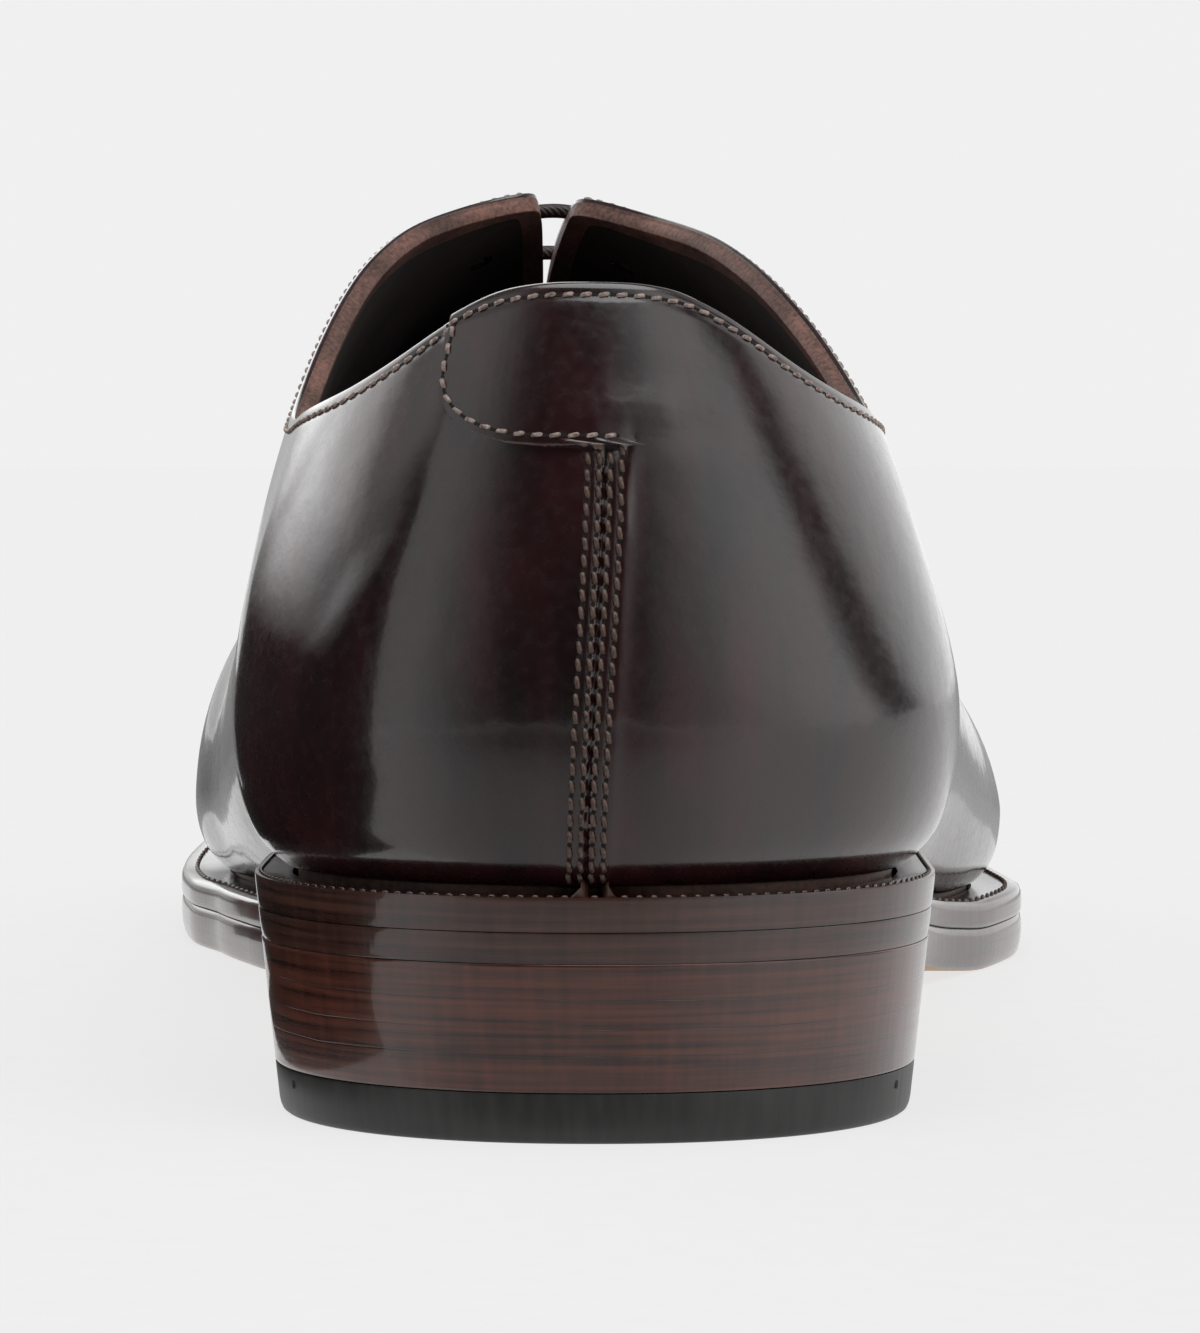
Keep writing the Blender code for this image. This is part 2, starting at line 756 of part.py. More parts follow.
def build():
    for item in list(bpy.data.objects):
        bpy.data.objects.remove(item)
    shoe = bpy.data.collections.new("whole_cut_oxford")
    cutters = bpy.data.collections.new("cutters")
    bpy.context.scene.collection.children.link(shoe)
    bpy.context.scene.collection.children.link(cutters)
    root = bpy.data.objects.new("shoe_root", None)
    shoe.objects.link(root)

    calf = shade("burgundy_calf", (0.030, 0.012, 0.011), 0.25)
    lining = shade("brown_lining", (0.060, 0.030, 0.024), 0.6)
    edge = shade("sole_edge", (0.040, 0.016, 0.012), 0.35)
    stacked = shade("stacked_leather", (0.065, 0.025, 0.018), 0.4)
    rubber = shade("black_rubber", (0.012, 0.012, 0.012), 0.55)
    cord = shade("waxed_cord", (0.020, 0.010, 0.009), 0.5)

    us = stations()
    upper = add_object("upper", upper_sheet(us), calf, shoe, root)
    solidify(upper, WALL)
    cut(upper, eyelet_cutter(cutters, calf), "eyelets")

    tab = add_object("heel_tab", tab_mesh(), calf, shoe, root)
    solidify(tab, TAB_LEATHER)
    tongue = add_object("tongue", tongue_mesh(), lining, shoe, root)
    solidify(tongue, TONGUE_LEATHER)

    add_object("insole", insole_mesh(us), lining, shoe, root)
    add_object("welt", welt_mesh(us), edge, shoe, root)
    add_object("outsole", outsole_mesh(us), edge, shoe, root)

    for k in range(LIFTS):
        low = TOP_PIECE + k * LIFT
        mesh = heel_slice(f"heel_lift_{k + 1}", us, low, (0, LIFT), (0, 0))
        add_object(f"heel_lift_{k + 1}", mesh, stacked, shoe, root).location.z = low
    tip = heel_slice("top_piece", us, 0, (0, TIP_ROUND, TOP_PIECE), (TIP_ROUND, 0, 0))
    add_object("top_piece", tip, rubber, shoe, root)

    for k, u in enumerate(eyelet_stations()):
        lace_bar(f"lace_bar_{k + 1}", u, cord, shoe, root)


build()
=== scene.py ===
"""Whole cut oxford, right shoe: its leather, lining, stitching, laces, sole and heel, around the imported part.

Lengths are in metres. The floor is z = 0, the toe points to +Y and the outer (lateral) side is +X.
"""

import functools
import math

import bmesh
import bpy
import numpy as np
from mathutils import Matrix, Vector
from mathutils.bvhtree import BVHTree


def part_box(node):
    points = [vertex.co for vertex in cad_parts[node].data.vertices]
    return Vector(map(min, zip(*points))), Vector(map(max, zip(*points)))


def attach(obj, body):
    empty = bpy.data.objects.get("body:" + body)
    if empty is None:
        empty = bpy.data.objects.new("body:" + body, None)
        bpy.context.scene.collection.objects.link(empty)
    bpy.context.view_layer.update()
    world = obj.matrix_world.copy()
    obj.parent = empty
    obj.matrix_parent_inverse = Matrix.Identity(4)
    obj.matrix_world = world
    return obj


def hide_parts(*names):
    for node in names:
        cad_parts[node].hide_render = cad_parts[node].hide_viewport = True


bl_info = {
    "name": "Whole Cut Oxford",
    "version": (1, 0, 0),
    "blender": (4, 5, 0),
    "location": "3D View > Sidebar > Oxford",
    "description": "Dresses a welted whole cut oxford in polished calf, stitching, laces and a stacked heel",
    "category": "Object",
}

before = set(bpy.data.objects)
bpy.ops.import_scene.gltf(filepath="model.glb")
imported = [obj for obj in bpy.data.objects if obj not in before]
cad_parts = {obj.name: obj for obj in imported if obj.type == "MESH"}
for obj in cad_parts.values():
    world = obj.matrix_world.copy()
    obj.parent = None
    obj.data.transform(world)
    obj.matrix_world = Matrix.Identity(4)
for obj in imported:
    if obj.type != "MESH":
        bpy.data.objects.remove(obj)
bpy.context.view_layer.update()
SOLE_LOW, SOLE_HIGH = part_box("outsole")
SEAT_LOW, SEAT_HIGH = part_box("heel_lift_4")

MM = 0.001
LATERAL, MEDIAL = 1, -1

# The shoe's main sizes, as the part has them
SOLE_LENGTH = SOLE_HIGH[1] - SOLE_LOW[1]
BALL_WIDTH = 0.1110
HEEL_WIDTH = 0.0684
INSTEP_HEIGHT = 0.0770
BACK_HEIGHT = 0.0583
TOP_PIECE = SEAT_LOW[2] - 3 * (SEAT_HIGH[2] - SEAT_LOW[2])
LIFTS = 4
LIFT = SEAT_HIGH[2] - SEAT_LOW[2]
HEEL_LENGTH = 0.080
BREAST_HOLLOW = 0.0025
HEEL_TAPER = 0.0026
OUTSOLE_HEEL = 0.0030
OUTSOLE_FORE = 0.0052
WELT = 0.0031
TOE_SPRING = 0.0105
WALL = 0.0024
CLEARANCE = 0.0003

# The welt's margin beyond the upper's foot, and how the last leans over it
HEEL_MARGIN = 0.0014
WAIST_MARGIN = 0.0022
FORE_MARGIN = 0.0041
NOSE_SLOPE = 0.0230
HEEL_LEAN = 0.0205

# The throat and its facings
THROAT_TOP = 0.0765
THROAT_FOOT = 0.1400
THROAT_GAP = 0.0047
THROAT_SLIT = 0.0003
THROAT_CLOSES = 0.0360
THROAT_CURVE = 2.4
THROAT_OPENS = 1.2  # how far the throat goes on opening, in shares of its length
FACING_CORNER = 0.0032
FACING_ROUND = 0.07
LARGEST_POWER = 60.0  # keeps the exponential in the rounding within range
PAST_CREST = 0.025
END_ROUND = 0.02

# How far the upper's foot is drawn in over the welt, and from what height
FEATHER_IN = 0.0025
FEATHER_HIGH = 0.0047

# The heel tab
TAB_REACH = 0.0162
TAB_DEPTH = 0.0150
TAB_CORNER = 0.0075
TAB_LEATHER = 0.0009
TAB_TURN = 0.6
TAB_SWEEP = 0.0115
TAB_CLIMB = (-0.0150, 0.0165)  # where the leather starts to climb over the seam, and over what length
TAB_NOTCH = (-0.0036, 0.0012)  # the same at the tab's lower edge

# Eyelets and lace
EYELETS = 5
FIRST_EYELET = 0.0085
EYELET_PITCH = 0.0125
EYELET_EDGE = 0.0095
EYELET_HOLE = 0.0030
LACE = 0.0017

# Tongue and sock
TONGUE_LEATHER = 0.0016
TONGUE_TOP = 0.0860
TONGUE_FOOT = 0.1500
TONGUE_WIDTH = 0.0400
TONGUE_SAG = 0.0080
TONGUE_TILT = 0.0050
TONGUE_TAPER = 0.72
TONGUE_ROOT = 0.0100
TONGUE_ROUND = 0.0080
TONGUE_CORNER = 0.18
INSOLE_SHOWS = 0.0025

# How sizes change along the shoe: where each change starts and its length, in shares of the shoe's
WIDENING = (0.26, 0.34)
THICKENING = (0.26, 0.24)
WAIST_FLARE = (0.22, 0.12)
FORE_FLARE = (0.36, 0.24)
TAPER_FADE = 0.10

# The outline's round ends
HEEL_ROUND = HEEL_WIDTH / 2
HEEL_POWER = 2.15
TOE_POWER = 1.95
BODY_END = 0.690

# Plan of the welt's edge. at: share of the length from the heel's back. shift: of the centre line
# to the outer side, in ball widths. half: half the width, in widths of the heel or, ahead, of the ball.
PLAN = (
    # at, shift, half
    (0.000, 0.0000, 0.500),
    (0.110, 0.0000, 0.500),
    (0.160, 0.0010, 0.499),
    (0.260, 0.0160, 0.481),
    (0.354, 0.0248, 0.417),
    (0.451, 0.0315, 0.385),
    (0.549, 0.0315, 0.438),
    (0.597, 0.0280, 0.467),
    (0.646, 0.0081, 0.491),
    (0.690, -0.0060, 0.495),
    (0.841, -0.0405, 0.495),
    (1.000, -0.0830, 0.495),
)

# Side view of the sole's underside. arch: in heights of the heel block. spring: in toe springs.
UNDERSIDE = (
    # at, arch, spring
    (0.000, 1.000, 0.00),
    (0.262, 1.000, 0.00),
    (0.300, 0.960, 0.00),
    (0.354, 0.700, 0.00),
    (0.400, 0.440, 0.00),
    (0.451, 0.200, 0.00),
    (0.500, 0.055, 0.00),
    (0.540, 0.000, 0.00),
    (0.685, 0.000, 0.00),
    (0.760, 0.000, 0.10),
    (0.841, 0.000, 0.36),
    (0.922, 0.000, 0.68),
    (1.000, 0.000, 1.00),
)

# Crest of the last above the welt. height: in instep heights. shift: to the outer side, in ball widths.
CREST = (
    # at, height, shift
    (0.000, 1.080, 0.000),
    (0.160, 1.090, 0.000),
    (0.260, 1.050, -0.023),
    (0.357, 0.992, -0.038),
    (0.403, 0.976, -0.048),
    (0.451, 0.951, -0.055),
    (0.532, 0.860, -0.062),
    (0.597, 0.752, -0.067),
    (0.662, 0.668, -0.071),
    (0.727, 0.598, -0.074),
    (0.792, 0.533, -0.076),
    (0.860, 0.474, -0.079),
    (0.930, 0.410, -0.081),
    (1.000, 0.335, -0.083),
)

# Belly of the upper, its widest line. out: beyond its foot, in heel widths. up: above the welt, in
# instep heights. power: how square the section is between the belly and the crest, 2 being an ellipse.
BELLY = (
    # at, out lateral, out medial, up lateral, up medial, power lateral, power medial
    (0.000, 0.050, 0.050, 0.185, 0.185, 1.49, 1.49),
    (0.110, 0.058, 0.057, 0.188, 0.188, 1.43, 1.58),
    (0.160, 0.063, 0.064, 0.195, 0.200, 1.42, 1.70),
    (0.247, 0.064, 0.098, 0.215, 0.252, 1.43, 1.80),
    (0.312, 0.072, 0.162, 0.240, 0.320, 1.43, 1.66),
    (0.354, 0.084, 0.192, 0.255, 0.338, 1.46, 1.67),
    (0.451, 0.084, 0.199, 0.262, 0.306, 1.50, 1.78),
    (0.549, 0.032, 0.109, 0.182, 0.221, 1.55, 1.95),
    (0.597, 0.022, 0.065, 0.143, 0.169, 1.58, 2.00),
    (0.646, 0.020, 0.046, 0.130, 0.143, 1.60, 2.05),
    (0.695, 0.022, 0.032, 0.123, 0.130, 1.66, 2.05),
    (0.850, 0.020, 0.023, 0.123, 0.123, 1.78, 1.95),
    (1.000, 0.018, 0.018, 0.117, 0.117, 1.80, 1.80),
)

# Collar line, above the welt, in back heights
COLLAR = (
    # at, lateral, medial
    (0.000, 0.982, 0.982),
    (0.004, 0.976, 0.976),
    (0.016, 0.925, 0.930),
    (0.028, 0.868, 0.876),
    (0.042, 0.828, 0.834),
    (0.060, 0.800, 0.804),
    (0.090, 0.776, 0.780),
    (0.130, 0.760, 0.764),
    (0.165, 0.762, 0.768),
    (0.195, 0.812, 0.816),
    (0.220, 0.893, 0.893),
    (0.250, 0.985, 0.986),
    (0.280, 1.067, 1.075),
    (0.312, 1.145, 1.158),
    (0.338, 1.215, 1.232),
    (0.357, 1.280, 1.300),
    (0.380, 1.400, 1.420),
    (0.430, 1.800, 1.800),
    (1.000, 1.800, 1.800),
)

# The rolled edge of the collar. in: towards the foot from the outer face. up: above the cut, both in mm.
ROLLED_EDGE = (
    # in, up
    (0.20, 0.40),
    (0.60, 0.50),
    (0.95, 0.20),
    (1.20, 0.40),
    (1.85, 0.35),
    (2.30, 0.00),
)
CALF_ROLLS = 2  # rows of the rolled edge that are still outer leather

# Soft dents and folds of the leather. Each runs from one point to another, is wide mm across and rises
# mm high, below zero for a trough. Points are across, along and up, in mm.
FOLDS = (
    # from, to, wide, high
    ((0.0, -33.0, 66.9), (13.0, -29.0, 68.6), 1.9, -0.20),
    ((-2.0, -33.0, 69.2), (8.5, -30.0, 69.8), 1.7, 0.17),
    ((1.0, -32.0, 72.2), (10.0, -29.0, 73.4), 1.9, -0.10),
    ((-31.0, -8.0, 62.0), (-22.0, -26.0, 50.0), 9.0, -0.45),
    ((29.0, -4.0, 63.0), (33.0, 14.0, 52.0), 8.0, -0.30),
    ((-30.0, 158.0, 44.0), (18.0, 166.0, 48.0), 6.0, -0.30),
    ((-26.0, 167.0, 44.0), (12.0, 174.0, 46.0), 6.0, 0.22),
    ((-34.0, 174.0, 38.0), (22.0, 180.0, 40.0), 6.0, -0.20),
)

# Stations of the upper's cage: close together at the back seam, then even round the heel, along the body
# and round the toe. More stand at the facings' top corner and just past the throat's foot.
SEAM_STATIONS = (0.0, 0.008, 0.02, 0.04, 0.07, 0.11)
HEEL_FROM = 0.18
HEEL_STATIONS, BODY_STATIONS, TOE_STATIONS = 8, 36, 13
CORNER_STATIONS = range(-4, 6)  # in halves of the step at the facings' corner
PAST_FOOT = 0.0012
LEAST_GAP = 0.4  # of the body's step: an even station nearer than this to another is left out

# Rows of the cage up one section
LOW_ROWS = (-1.0, -0.93, -0.85, -0.72, -0.48, -0.22)  # under the belly
SIDE_ROWS = 9  # even ones, from the belly up
EDGE_ROWS = (0.0052, 0.0027, 0.0012, 0.0)  # close to the edge, as distances below it
VAMP_ROW = 0.075  # step of those rows on the vamp, in shares of the section
EDGE_FADE = 0.020  # length over which the one gives way to the other
SECTION_SAMPLES = 16
CAGE_LEVELS = 2  # times that the cage is subdivided
ROLL_FADE = (0.0015, 0.006)  # where the collar's roll gives out down the facing, and over what length
RIM_ROWS = 2  # rows of lining in the edge's own leather, below the rolled edge
FOOT_GAP = 0.0002  # the lining's foot, above the leather's

# The back seam. Its strip is raised by the folded allowances, with a groove where the two edges meet.
SEAM_ACROSS = (-0.0009, 0.0019)  # where it starts, at the rand, and how far it slants to the outer side
SEAM_SLANTS = (0.022, 0.048)  # height where the slant starts, and its length
SEAM_STRIP = (0.00024, 0.0026)  # height and half width
SEAM_GROOVE = (0.00045, 0.00030)  # depth and half width
SEAM_VALLEY = (0.00011, 0.00030)  # the same, under each row of thread
SEAM_STARTS = 0.0015  # length over which it comes up below the tab
COLLAR_VALLEY = (0.00008, 0.00035)  # depth and half width, under the collar's row of thread
FOOT_EDGE = 0.001  # length past the throat's foot over which the edge still counts as open
FOLD_ENDS = 5  # a fold fades out over the first and the last 1/5 of its length

# The nose, and the rows of thread
NOSE_REACH = 0.025  # how far round the end of the crest the nose is drawn smooth
NOSE_CORE = 0.36  # share of that reach within which the first form has no say
NOSE_HOLD = 0.92  # share of that reach beyond which it stays
NOSE_DEPTH = 0.016  # how far below the end of the crest the nose still counts
NOSE_POWER = 4  # highest power of the smooth surface
SEAM_ROWS = (-0.0016, -0.00055, 0.00055, 0.0016)  # rows of stitches beside the back seam
ROW_HIGH, ROW_ENDS = 0.0004, 0.0012  # how far they start above or below the tab, and end above the rand
COLLAR_ROW = 0.0010  # the collar's row of stitches, below the edge

# The tab's top, wrapped over the collar's rolled edge: in from the leather's face, and up, both in mm
TAB_WRAP = (
    # in, up
    (1.60, 0.15),
    (1.30, 0.48),
    (0.85, 0.62),
    (0.40, 0.52),
    (0.12, 0.28),
)

# The heel tab's fit on the upper
TAB_WALK = 60  # stations round a quarter of the heel, by which distances round it are measured
TAB_REACHES = 50  # as many of them as the tab can touch
TAB_FADE = (0.006, 0.009)  # below its bottom, beside the seam: where it starts to fade, and over what height
TAB_SINK = 0.00006  # how far below the tab's face the raised upper stays
TAB_BRIM = 0.0001  # its top edge, below the collar's
UNDER_TAB = 0.008  # how far below the tab the upper may be raised
UNDER_END = (0.0012, 0.0025)  # how far short of the tab's end the raised patch stops, and its fade
UNDER_FOOT = (0.0008, 0.0018)  # the same above the tab's lower edge
TAB_GRID = (110, 44)  # across and down
TAB_LIES = (-0.00008, 0.00012, 0.010)  # proud of the upper at its root, gained further on, over what length
# Drawn in at its lower corner by the seam: how far, from what share down, over what share
TAB_TUCK = (0.00014, 0.7, 0.3)
TAB_POWER = 2.2  # how square its lower corner is, 2 being a circle
# The stations from which its normals and upward lines are taken, and how near the seam both are level
TAB_NORMAL_FROM, TAB_UPWARD_FROM, TAB_MIDDLE = 0.01, 0.012, 0.001
TAB_BACK = 0.0001  # added to its thickness, so that its underside is buried
TAB_SOFT = 0.00022  # rounding of its edges
TAB_INSET = 0.0008  # its row of stitches, from its edge
TAB_ROW_FROM = -0.0022  # where that row starts beside the seam

# A stitch: a bead of thread that dips in at both ends, with a near-black disc past each end, painted as the
# shade of its needle hole. Heights, slants and hole sizes are in radii of the thread.
BEAD_RINGS, BEAD_SIDES, HOLE_SHADE_SIDES = 7, 6, 6
BEAD_TAPER = 0.80
BEAD_HIGH, BEAD_DIPS = 0.55, 1.25
BEAD_SLANT = 0.45
HOLE_SHADE_PAST, HOLE_SHADE_WIDE = 0.4, 0.85
HOLE_SHADE_PROUD = 0.00004
# Rows of stitches: length of a stitch in pitches, and its radius in widths of the thread
FINE_ROW = (0.72, 0.50)
CLOSE_ROW = (0.88, 0.62)
SOLE_ROW = (0.66, 0.55)
SEAT_ROW = (0.60, 0.45)
WELT_ROW_FROM = 0.012  # where the welt's row starts, behind the breast
WELT_ROW = (0.52, 0.0021)  # its distance from the edge: share of the margin, and the most that it may be
WELT_ROW_LIFT = 0.00002
SEAT_ROW_IN, SEAT_ROW_SINKS = 0.0007, 0.00008  # the marks, from the edge, and how deep they are pressed
SETTLE_FROM, SETTLE_TO = 0.003, 0.008  # a stitch is set on the leather from this far off, and this deep

# Second row of the facing: distance from the throat's middle, and where it starts and turns in
STAY_WIDE, STAY_TOP, STAY_FOOT = 0.0165, 0.001, 0.004
STAY_GAP = 0.0004  # how close the two sides' rows come

# Sole and heel
FLUSH_FADE = (0.01, 0.06)  # where the edges' rounding starts to grow, behind the breast, and its length
FLUSH = 0.14  # how much of their rounding the edges keep round the heel, where all is sanded as one

# Section of the welt's edge and of the outsole's edge, from below: inset in mm, share of the thickness
WELT_EDGE = ((0.35, 0.00), (0.12, 0.06), (0.00, 0.22), (0.00, 0.55), (0.06, 0.78), (0.26, 0.93), (0.62, 1.00))
OUTSOLE_EDGE = (
    (0.95, 0.00), (0.62, 0.03), (0.38, 0.12), (0.12, 0.32), (0.00, 0.58), (0.02, 0.82), (0.16, 0.95),
    (0.38, 1.00),
)
# Joins of the stacked heel, in shares of its height: a sanded stack's lifts are never quite equal
STACK_JOINS = (0.294, 0.502, 0.728)

# Pins of the rubber tip, the sock and the tongue
PIN_AT, PIN_HEIGHT = 0.745, 0.0036  # station and height of the pins in the rubber tip
PIN_SIZE, PIN_TALL, PIN_SIDES = 0.00042, 1.4, 10
PIN_PROUD = 0.00003
SOCK_THICK, SOCK_SOFT = 0.0045, 0.0006
TONGUE_SOFT = 0.0004
TONGUE_GRID = (40, 48)  # across and along
RIPPLE = (0.0004, 4.0, 160)  # of the tongue's free end: height, and radians across and for each metre along

# Welt, outsole, heel and tip
JOIN_GAP = 0.00008  # gap in the join under the welt
WELT_TOP = ((0.55, 0.00004), (0.92, -0.00012))  # the welt's top: share of the margin, rise
WELT_INNER = 0.00010  # how far its inner edge lies lower
INKED_PAST = 0.001  # length past the breast up to which the outsole's lower bevel is inked
BREAST_CORNER, BREAST_CORNERS = 0.0006, 60  # rounding at the breast's two ends
STACK_FOOT = ((0.00004, 0.00006), (0.00012, 0.0), (0.00034, 0.0))  # the stack's foot: height, inset
STACK_TOP = ((0.00036, 0.0), (0.00012, 0.0), (0.00003, 0.00006))  # its top: how far below, inset
TIP_FOOT = ((0.0, 0.00045), (0.0002, 0.0002), (0.0006, 0.00006), (0.0012, 0.0))
TIP_TOP = ((0.0003, 0.0), (0.00006, 0.00010))

# The sock's form, and how the lace lies
SOCK_ENDS = 0.02  # how far the sock stays from both ends, in stations
SOCK_DISH, SOCK_EDGE = 0.0007, 0.0004  # how far its middle lies lower, and how far its edge is turned down
LACE_LIES = (1.0, 0.8, 0.6, 0.4, 0.2)  # where the lace's line is drawn, as shares of the eyelets' distance
LACE_DIP = 0.0006  # how much closer the lace lies at its holes
LACE_HOLE = 1.04  # where it goes through, as a share of the same distance
LACE_ENDS = (0.0008, WALL + 0.0002)  # depths of its ends in the hole

# The floor's mesh, and meshes in general
FLOOR_RINGS, FLOOR_SIDES, FLOOR_MIDDLE = (0.6, 1.6, 4.0), 64, 0.1
PUNCH_SIDES = 20  # facets round a lace hole
CUT_ANGLE = 50  # degrees: edges sharper than this are cut edges
SOLE_ANGLE, STACK_ANGLE, TIP_ANGLE, SOCK_ANGLE, CARD_ANGLE = 45, 60, 40, 40, 30  # the same for these pieces
EDGE_STEPS = 3  # facets in a rounded edge
SAME_POINT = 2e-6  # points closer than this are one
TINY = 1e-6

# Stations of the sole's rings round the heel, along the body and round the toe, and steps of every row
SOLE_RINGS = (50, 150, 60)
HEEL_RING = (64, 44, 40)  # round the heel, on to the breast, and across it
SOCK_GRID = (24, 60, 14)  # round each end, along the body, and across
COLLAR_STEP, COLLAR_STEPS, FACING_STEPS = 0.02, 50, 150
STAY_STEPS, SEAM_STEPS, WELT_STEPS, SEAT_STEPS = 60, 90, 240, 160
TAB_DOWN, TAB_ALONG = (60, 0.02, 1.0), (40, 0.99, 0.0)  # down the tab's end, and back along its foot

# The camera stands where the photo's does: behind the heel, at the height of the collar
CAMERA_BEHIND = 0.528
CAMERA_HEIGHT = 0.0678
CAMERA_LENS = 142.0
AIM_HEIGHT = 0.0440
AIM_ACROSS = 0.0005

# Brightness of the room by direction, as the leather mirrors it: two tall soft boxes beside the camera,
# black felt between them and beyond, and white paper behind the shoe. turn: degrees round from the camera,
# to its right.
ROOM = (
    # turn, brightness
    (-180, 0.35),
    (-166, 0.60),
    (-152, 0.65),
    (-138, 0.60),
    (-118, 0.30),
    (-100, 0.45),
    (-76, 0.78),
    (-54, 0.75),
    (-42, 0.40),
    (-34, 0.14),
    (-26, 0.02),
    (8, 0.02),
    (16, 0.18),
    (27, 0.45),
    (35, 0.62),
    (43, 0.90),
    (52, 1.05),
    (60, 1.20),
    (78, 1.30),
    (85, 0.55),
    (90, 0.05),
    (98, 0.05),
    (106, 0.90),
    (116, 1.10),
    (148, 1.15),
    (164, 0.70),
    (180, 0.35),
)

# The dark strip on the outer side leans: further round from the camera by this share for each unit of sine
ROOM_LEAN = 0.7
ROOM_LEAN_FROM, ROOM_LEAN_TO = 0.25, 0.60

# A tall window ahead on the inner side, above the card, as a share of its own brightness
WINDOW = (
    # turn, share
    (-180, 0.25),
    (-160, 0.38),
    (-145, 0.42),
    (-125, 0.42),
    (-112, 0.36),
    (-103, 0.16),
    (-97, 0.0),
    (180, 0.0),
)
WINDOW_HEIGHT = (
    # up, share
    (-1.00, 0.0),
    (0.09, 0.0),
    (0.22, 1.0),
    (0.60, 1.0),
    (0.75, 0.0),
    (1.00, 0.0),
)
WINDOW_BRIGHT = 4.0

# How that brightness changes with height. up: sine of the direction's height.
ROOM_HEIGHT = (
    # up, share
    (-1.00, 1.00),
    (0.58, 1.00),
    (0.73, 0.36),
    (1.00, 0.15),
)

# A black card that stands beside the heel on the inner side, with a foot on the table. Only the leather
# mirrors it. Its near edge leans towards the camera from a bend upwards, and its top slopes down.
CARD_ACROSS = -0.066
CARD_FOOT = -0.046
CARD_UNDER = 0.0005
CARD_FOOT_FROM = -0.0332
CARD_BENDS = 0.020
CARD_FROM, CARD_TO = -0.0465, 0.085
CARD_LOW_TO = 0.170
CARD_TALL = 0.100
CARD_SLOPES_TO = -0.022
CARD_LOW = 0.063
CARD_SOFT = 0.009

# How dense the felt runner is by direction, and how it thickens with distance from the shoe
RUNNER = (
    # turn, density
    (-180, 0.90),
    (-160, 0.90),
    (-140, 1.00),
    (-118, 0.95),
    (-100, 0.40),
    (-84, 0.0),
    (-62, 0.0),
    (-44, 0.40),
    (-34, 0.80),
    (-24, 1.00),
    (8, 1.00),
    (18, 0.75),
    (30, 0.40),
    (46, 0.0),
    (145, 0.0),
    (162, 0.70),
    (180, 0.90),
)
RUNNER_NEAR, RUNNER_FAR = 0.060, 0.480
RUNNER_THIN, RUNNER_DENSE = 0.48, 0.92
RUNNER_WIDE, RUNNER_LONG = 1.5, 2.0

OVERHEAD_TURN = 20  # degrees: where the overhead soft box stands, round from the camera
OVERHEAD_HEIGHT = 72  # degrees above the floor
OVERHEAD_WIDE = 62  # degrees across, as the shoe sees it
FLOOR_REACH = 9.0
PAPER = "#f0f0f0"


def ease(x):
    """0 to 1 with no slope at either end."""
    x = min(max(x, 0.0), 1.0)
    return x * x * (3 - 2 * x)


def blend(s, zone):
    """0 to 1 over a zone, which is where it starts and its length."""
    start, span = zone
    return ease((s - start) / span)


def smooth(shares):
    """The same ease for an array."""
    shares = np.clip(shares, 0, 1)
    return shares * shares * (3 - 2 * shares)


def column(rows, number):
    """A smooth function through one column of a table, which never overshoots its rows."""
    x = np.array([row[0] for row in rows], float)
    y = np.array([row[number] for row in rows], float)
    step = np.diff(x)
    slope = np.diff(y) / step
    tangent = np.zeros(len(x))
    for k in range(1, len(x) - 1):
        if slope[k - 1] * slope[k] > 0:
            a = 2 * step[k] + step[k - 1]
            b = step[k] + 2 * step[k - 1]
            tangent[k] = (a + b) / (a / slope[k - 1] + b / slope[k])

    @functools.lru_cache(None)
    def value(at):
        at = min(max(at, x[0]), x[-1])
        k = min(int(np.searchsorted(x, at, side="right")) - 1, len(step) - 1)
        t = (at - x[k]) / step[k]
        return float(
            y[k] * (1 + 2 * t) * (1 - t) ** 2
            + step[k] * tangent[k] * t * (1 - t) ** 2
            + y[k + 1] * t * t * (3 - 2 * t)
            + step[k] * tangent[k + 1] * t * t * (t - 1)
        )

    return value


plan_shift, plan_half = column(PLAN, 1), column(PLAN, 2)
arch, spring = column(UNDERSIDE, 1), column(UNDERSIDE, 2)
crest_height, crest_shift = column(CREST, 1), column(CREST, 2)
belly_out = {LATERAL: column(BELLY, 1), MEDIAL: column(BELLY, 2)}
belly_up = {LATERAL: column(BELLY, 3), MEDIAL: column(BELLY, 4)}
belly_power = {LATERAL: column(BELLY, 5), MEDIAL: column(BELLY, 6)}
collar = {LATERAL: column(COLLAR, 1), MEDIAL: column(COLLAR, 2)}

BACK = -HEEL_ROUND
TIP = BACK + SOLE_LENGTH
BODY_TO = BACK + BODY_END * SOLE_LENGTH
BREAST = BACK + HEEL_LENGTH


def share(y):
    """Share of the length at a distance y ahead of the middle of the heel."""
    return (y - BACK) / SOLE_LENGTH


def station(u):
    """Distance ahead of the middle of the heel at station u: heel 0 to 1, body 1 to 2, toe 2 to 3."""
    if u < 1:
        return BACK * math.cos(u * math.pi / 2) ** (2 / HEEL_POWER)
    if u < 2:
        return (u - 1) * BODY_TO
    return BODY_TO + (TIP - BODY_TO) * math.sin((u - 2) * math.pi / 2) ** (2 / TOE_POWER)


def station_at(y):
    """The body's station at a distance y ahead of the middle of the heel."""
    return 1 + y / BODY_TO


def rounding(u):
    """Share of the full width at a station, which falls to nothing at the heel's back and the toe's tip."""
    if u < 1:
        return max(math.sin(u * math.pi / 2), 0.0) ** (2 / HEEL_POWER)
    if u < 2:
        return 1.0
    return max(math.cos((u - 2) * math.pi / 2), 0.0) ** (2 / TOE_POWER)


@functools.lru_cache(None)
def sole_edge_at(side, u):
    """The welt's edge as a plain pair, which can be kept."""
    y = station(u)
    s = share(y)
    width = HEEL_WIDTH + (BALL_WIDTH - HEEL_WIDTH) * blend(s, WIDENING)
    return plan_shift(s) * BALL_WIDTH + side * plan_half(s) * width * rounding(u), y


